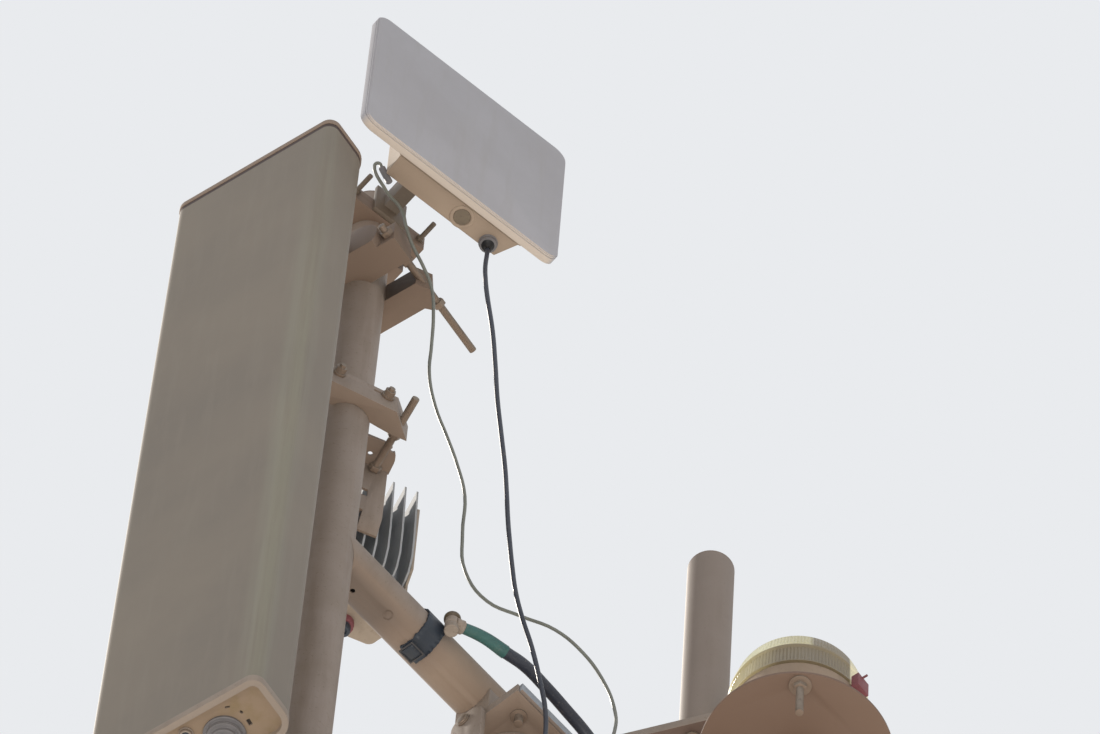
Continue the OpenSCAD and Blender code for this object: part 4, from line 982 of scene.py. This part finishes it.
class MAST_OT_threads(Operator):
    """Cuts the threads of the clamps' rods"""

    bl_idname = "mast.threads"
    bl_label = "Threads"

    def execute(self, context):
        quarter = Matrix.Rotation(math.radians(90), 4, "Z")
        low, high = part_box("antenna_clamps_far")
        from_foot, from_top = 21, 34
        heights = (above_arm(low.z) + from_foot, above_arm(high.z) - from_top)
        link_height, radio_height = 1040, 412
        thread_rods("antenna_rod_threads", "antenna_clamp_rods", 12, 1.75, -85, 174,
                    [spot(ANTENNA_TURN, x, 0, height) @ quarter for x in (-96, 96) for height in heights])
        thread_rods("link_rod_threads", "link_clamp_rods", 8, 1.25, -61, 86,
                    [spot(LINK_TURN, 0, y, link_height) for y in (-65, 65)])
        thread_rods("radio_rod_threads", "radio_clamp_rods", 12, 1.75, -55, 85,
                    [spot(RADIO_CLAMP_TURN, 0, y, radio_height) for y in (-78, 78)])
        return {"FINISHED"}


class MAST_OT_welds(Operator):
    """Lays the weld beads where the tubes meet their plates"""

    bl_idname = "mast.welds"
    bl_label = "Weld beads"

    def execute(self, context):
        bead = context.scene.mast_sizes.weld
        side_pole = spot(SIDE_TURN, SIDE_POLE_REACH, about=MAST_AT).translation
        beacon = spot(BEACON_TURN, BEACON_REACH, about=MAST_AT).translation
        places = (
            ("base_weld", MAST_RADIUS, MAST_AT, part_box("base_flange")[1].z),
            ("flange_weld", MAST_RADIUS, MAST_AT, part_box("mast_top_flange")[0].z - bead / 2),
            ("side_pole_weld", SIDE_POLE_RADIUS, side_pole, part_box("side_bar")[1].z),
            ("beacon_post_weld", BEACON_POST_RADIUS, beacon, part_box("beacon_plate")[0].z - bead / 2),
        )
        for name, radius, middle, height in places:
            bpy.ops.object.select_all(action="DESELECT")
            bpy.ops.mesh.primitive_torus_add(major_radius=radius * MM, minor_radius=bead,
                                             major_segments=120, minor_segments=10)
            piece = put(context.object, name, Matrix.Translation((middle.x, middle.y, height)))
            roughen(piece, 6 * MM, 1.6 * MM)
            settle(piece, "dusty_steel", angle=60)
        return {"FINISHED"}


def backdrop_rays(tree):
    """A factor that is 1 for the camera, gloss and glass rays that see the backdrop."""
    path = add(tree, "ShaderNodeLightPath")
    camera, gloss, glass = [path.outputs[f"Is {kind} Ray"] for kind in ("Camera", "Glossy", "Transmission")]
    seen = add(tree, "ShaderNodeMath", {}, {0: camera, 1: gloss}, operation="MAXIMUM").outputs[0]
    return add(tree, "ShaderNodeMath", {}, {0: seen, 1: glass}, operation="MAXIMUM").outputs[0]


class MAST_OT_stage(Operator):
    """Adds the pale floor, the soft lights and the pale surroundings"""

    bl_idname = "mast.stage"
    bl_label = "Stage"

    def execute(self, context):
        bpy.ops.object.select_all(action="DESELECT")
        bpy.ops.mesh.primitive_plane_add(size=60)
        floor = context.object
        floor.name = "floor"
        material, tree, shader = new_material("matt_floor", 0.9)
        shader.inputs["Base Color"].default_value = (*linear("#dedbd5"), 1)
        clear = add(tree, "ShaderNodeBsdfTransparent")
        below = overlap(tree, add(tree, "ShaderNodeNewGeometry").outputs["Backfacing"],
                        add(tree, "ShaderNodeLightPath").outputs["Is Camera Ray"])
        blend = add(tree, "ShaderNodeMixShader", {}, {0: below, 1: shader.outputs[0], 2: clear.outputs[0]})
        tree.links.new(blend.outputs[0], tree.nodes["Material Output"].inputs["Surface"])
        floor.data.materials.append(material)

        world = bpy.data.worlds.new("pale_room")
        context.scene.world = world
        world.use_nodes = True
        tree = world.node_tree
        soft = tree.nodes["Background"]
        soft.inputs["Color"].default_value = (*linear("#f4f6fa"), 1)
        soft.inputs["Strength"].default_value = 0.52
        seen = add(tree, "ShaderNodeBackground", {"Color": (*linear("#e9ebee"), 1), "Strength": 1.0})
        blend = add(tree, "ShaderNodeMixShader", {}, {
            0: backdrop_rays(tree), 1: soft.outputs[0], 2: seen.outputs[0]})
        tree.links.new(blend.outputs[0], tree.nodes["World Output"].inputs["Surface"])

        lights = (("key", 3.4, 3, "#fff6ea", (-0.69, -0.055, 0.722), True),
                  ("fill", 0.8, 20, "#fffaf6", (0.33, -0.32, -0.89), False))
        for name, energy, angle, colour, towards, shadows in lights:
            light = bpy.data.lights.new(name, "SUN")
            light.energy = energy
            light.angle = math.radians(angle)
            light.color = linear(colour)
            light.use_shadow = shadows
            lamp = bpy.data.objects.new(name, light)
            context.scene.collection.objects.link(lamp)
            lamp.matrix_world = Vector(towards).to_track_quat("Z", "Y").to_matrix().to_4x4()
        return {"FINISHED"}


class MAST_PT_panel(Panel):
    """Lists the steps in the sidebar"""

    bl_idname = "MAST_PT_panel"
    bl_label = "Mast head"
    bl_space_type = "VIEW_3D"
    bl_region_type = "UI"
    bl_category = "Mast head"

    def draw(self, context):
        for step in STEPS:
            self.layout.operator(step.bl_idname)
        for group in (context.scene.mast_sizes, context.scene.mast_colours):
            for name in group.__annotations__:
                self.layout.prop(group, name)


STEPS = (MAST_OT_camera, MAST_OT_finishes, MAST_OT_cables, MAST_OT_rounded, MAST_OT_antenna, MAST_OT_link,
         MAST_OT_radio, MAST_OT_strap, MAST_OT_lens, MAST_OT_threads, MAST_OT_welds, MAST_OT_stage)
CLASSES = (MastColours, MastSizes, *STEPS, MAST_PT_panel)


def register():
    for cls in CLASSES:
        bpy.utils.register_class(cls)
    bpy.types.Scene.mast_colours = PointerProperty(type=MastColours)
    bpy.types.Scene.mast_sizes = PointerProperty(type=MastSizes)


def unregister():
    del bpy.types.Scene.mast_sizes
    del bpy.types.Scene.mast_colours
    for cls in reversed(CLASSES):
        bpy.utils.unregister_class(cls)


def main():
    register()
    bpy.context.scene.view_settings.view_transform = "Standard"
    for step in STEPS:
        group, name = step.bl_idname.split(".")
        getattr(getattr(bpy.ops, group), name)()


if __name__ == "__main__":
    main()
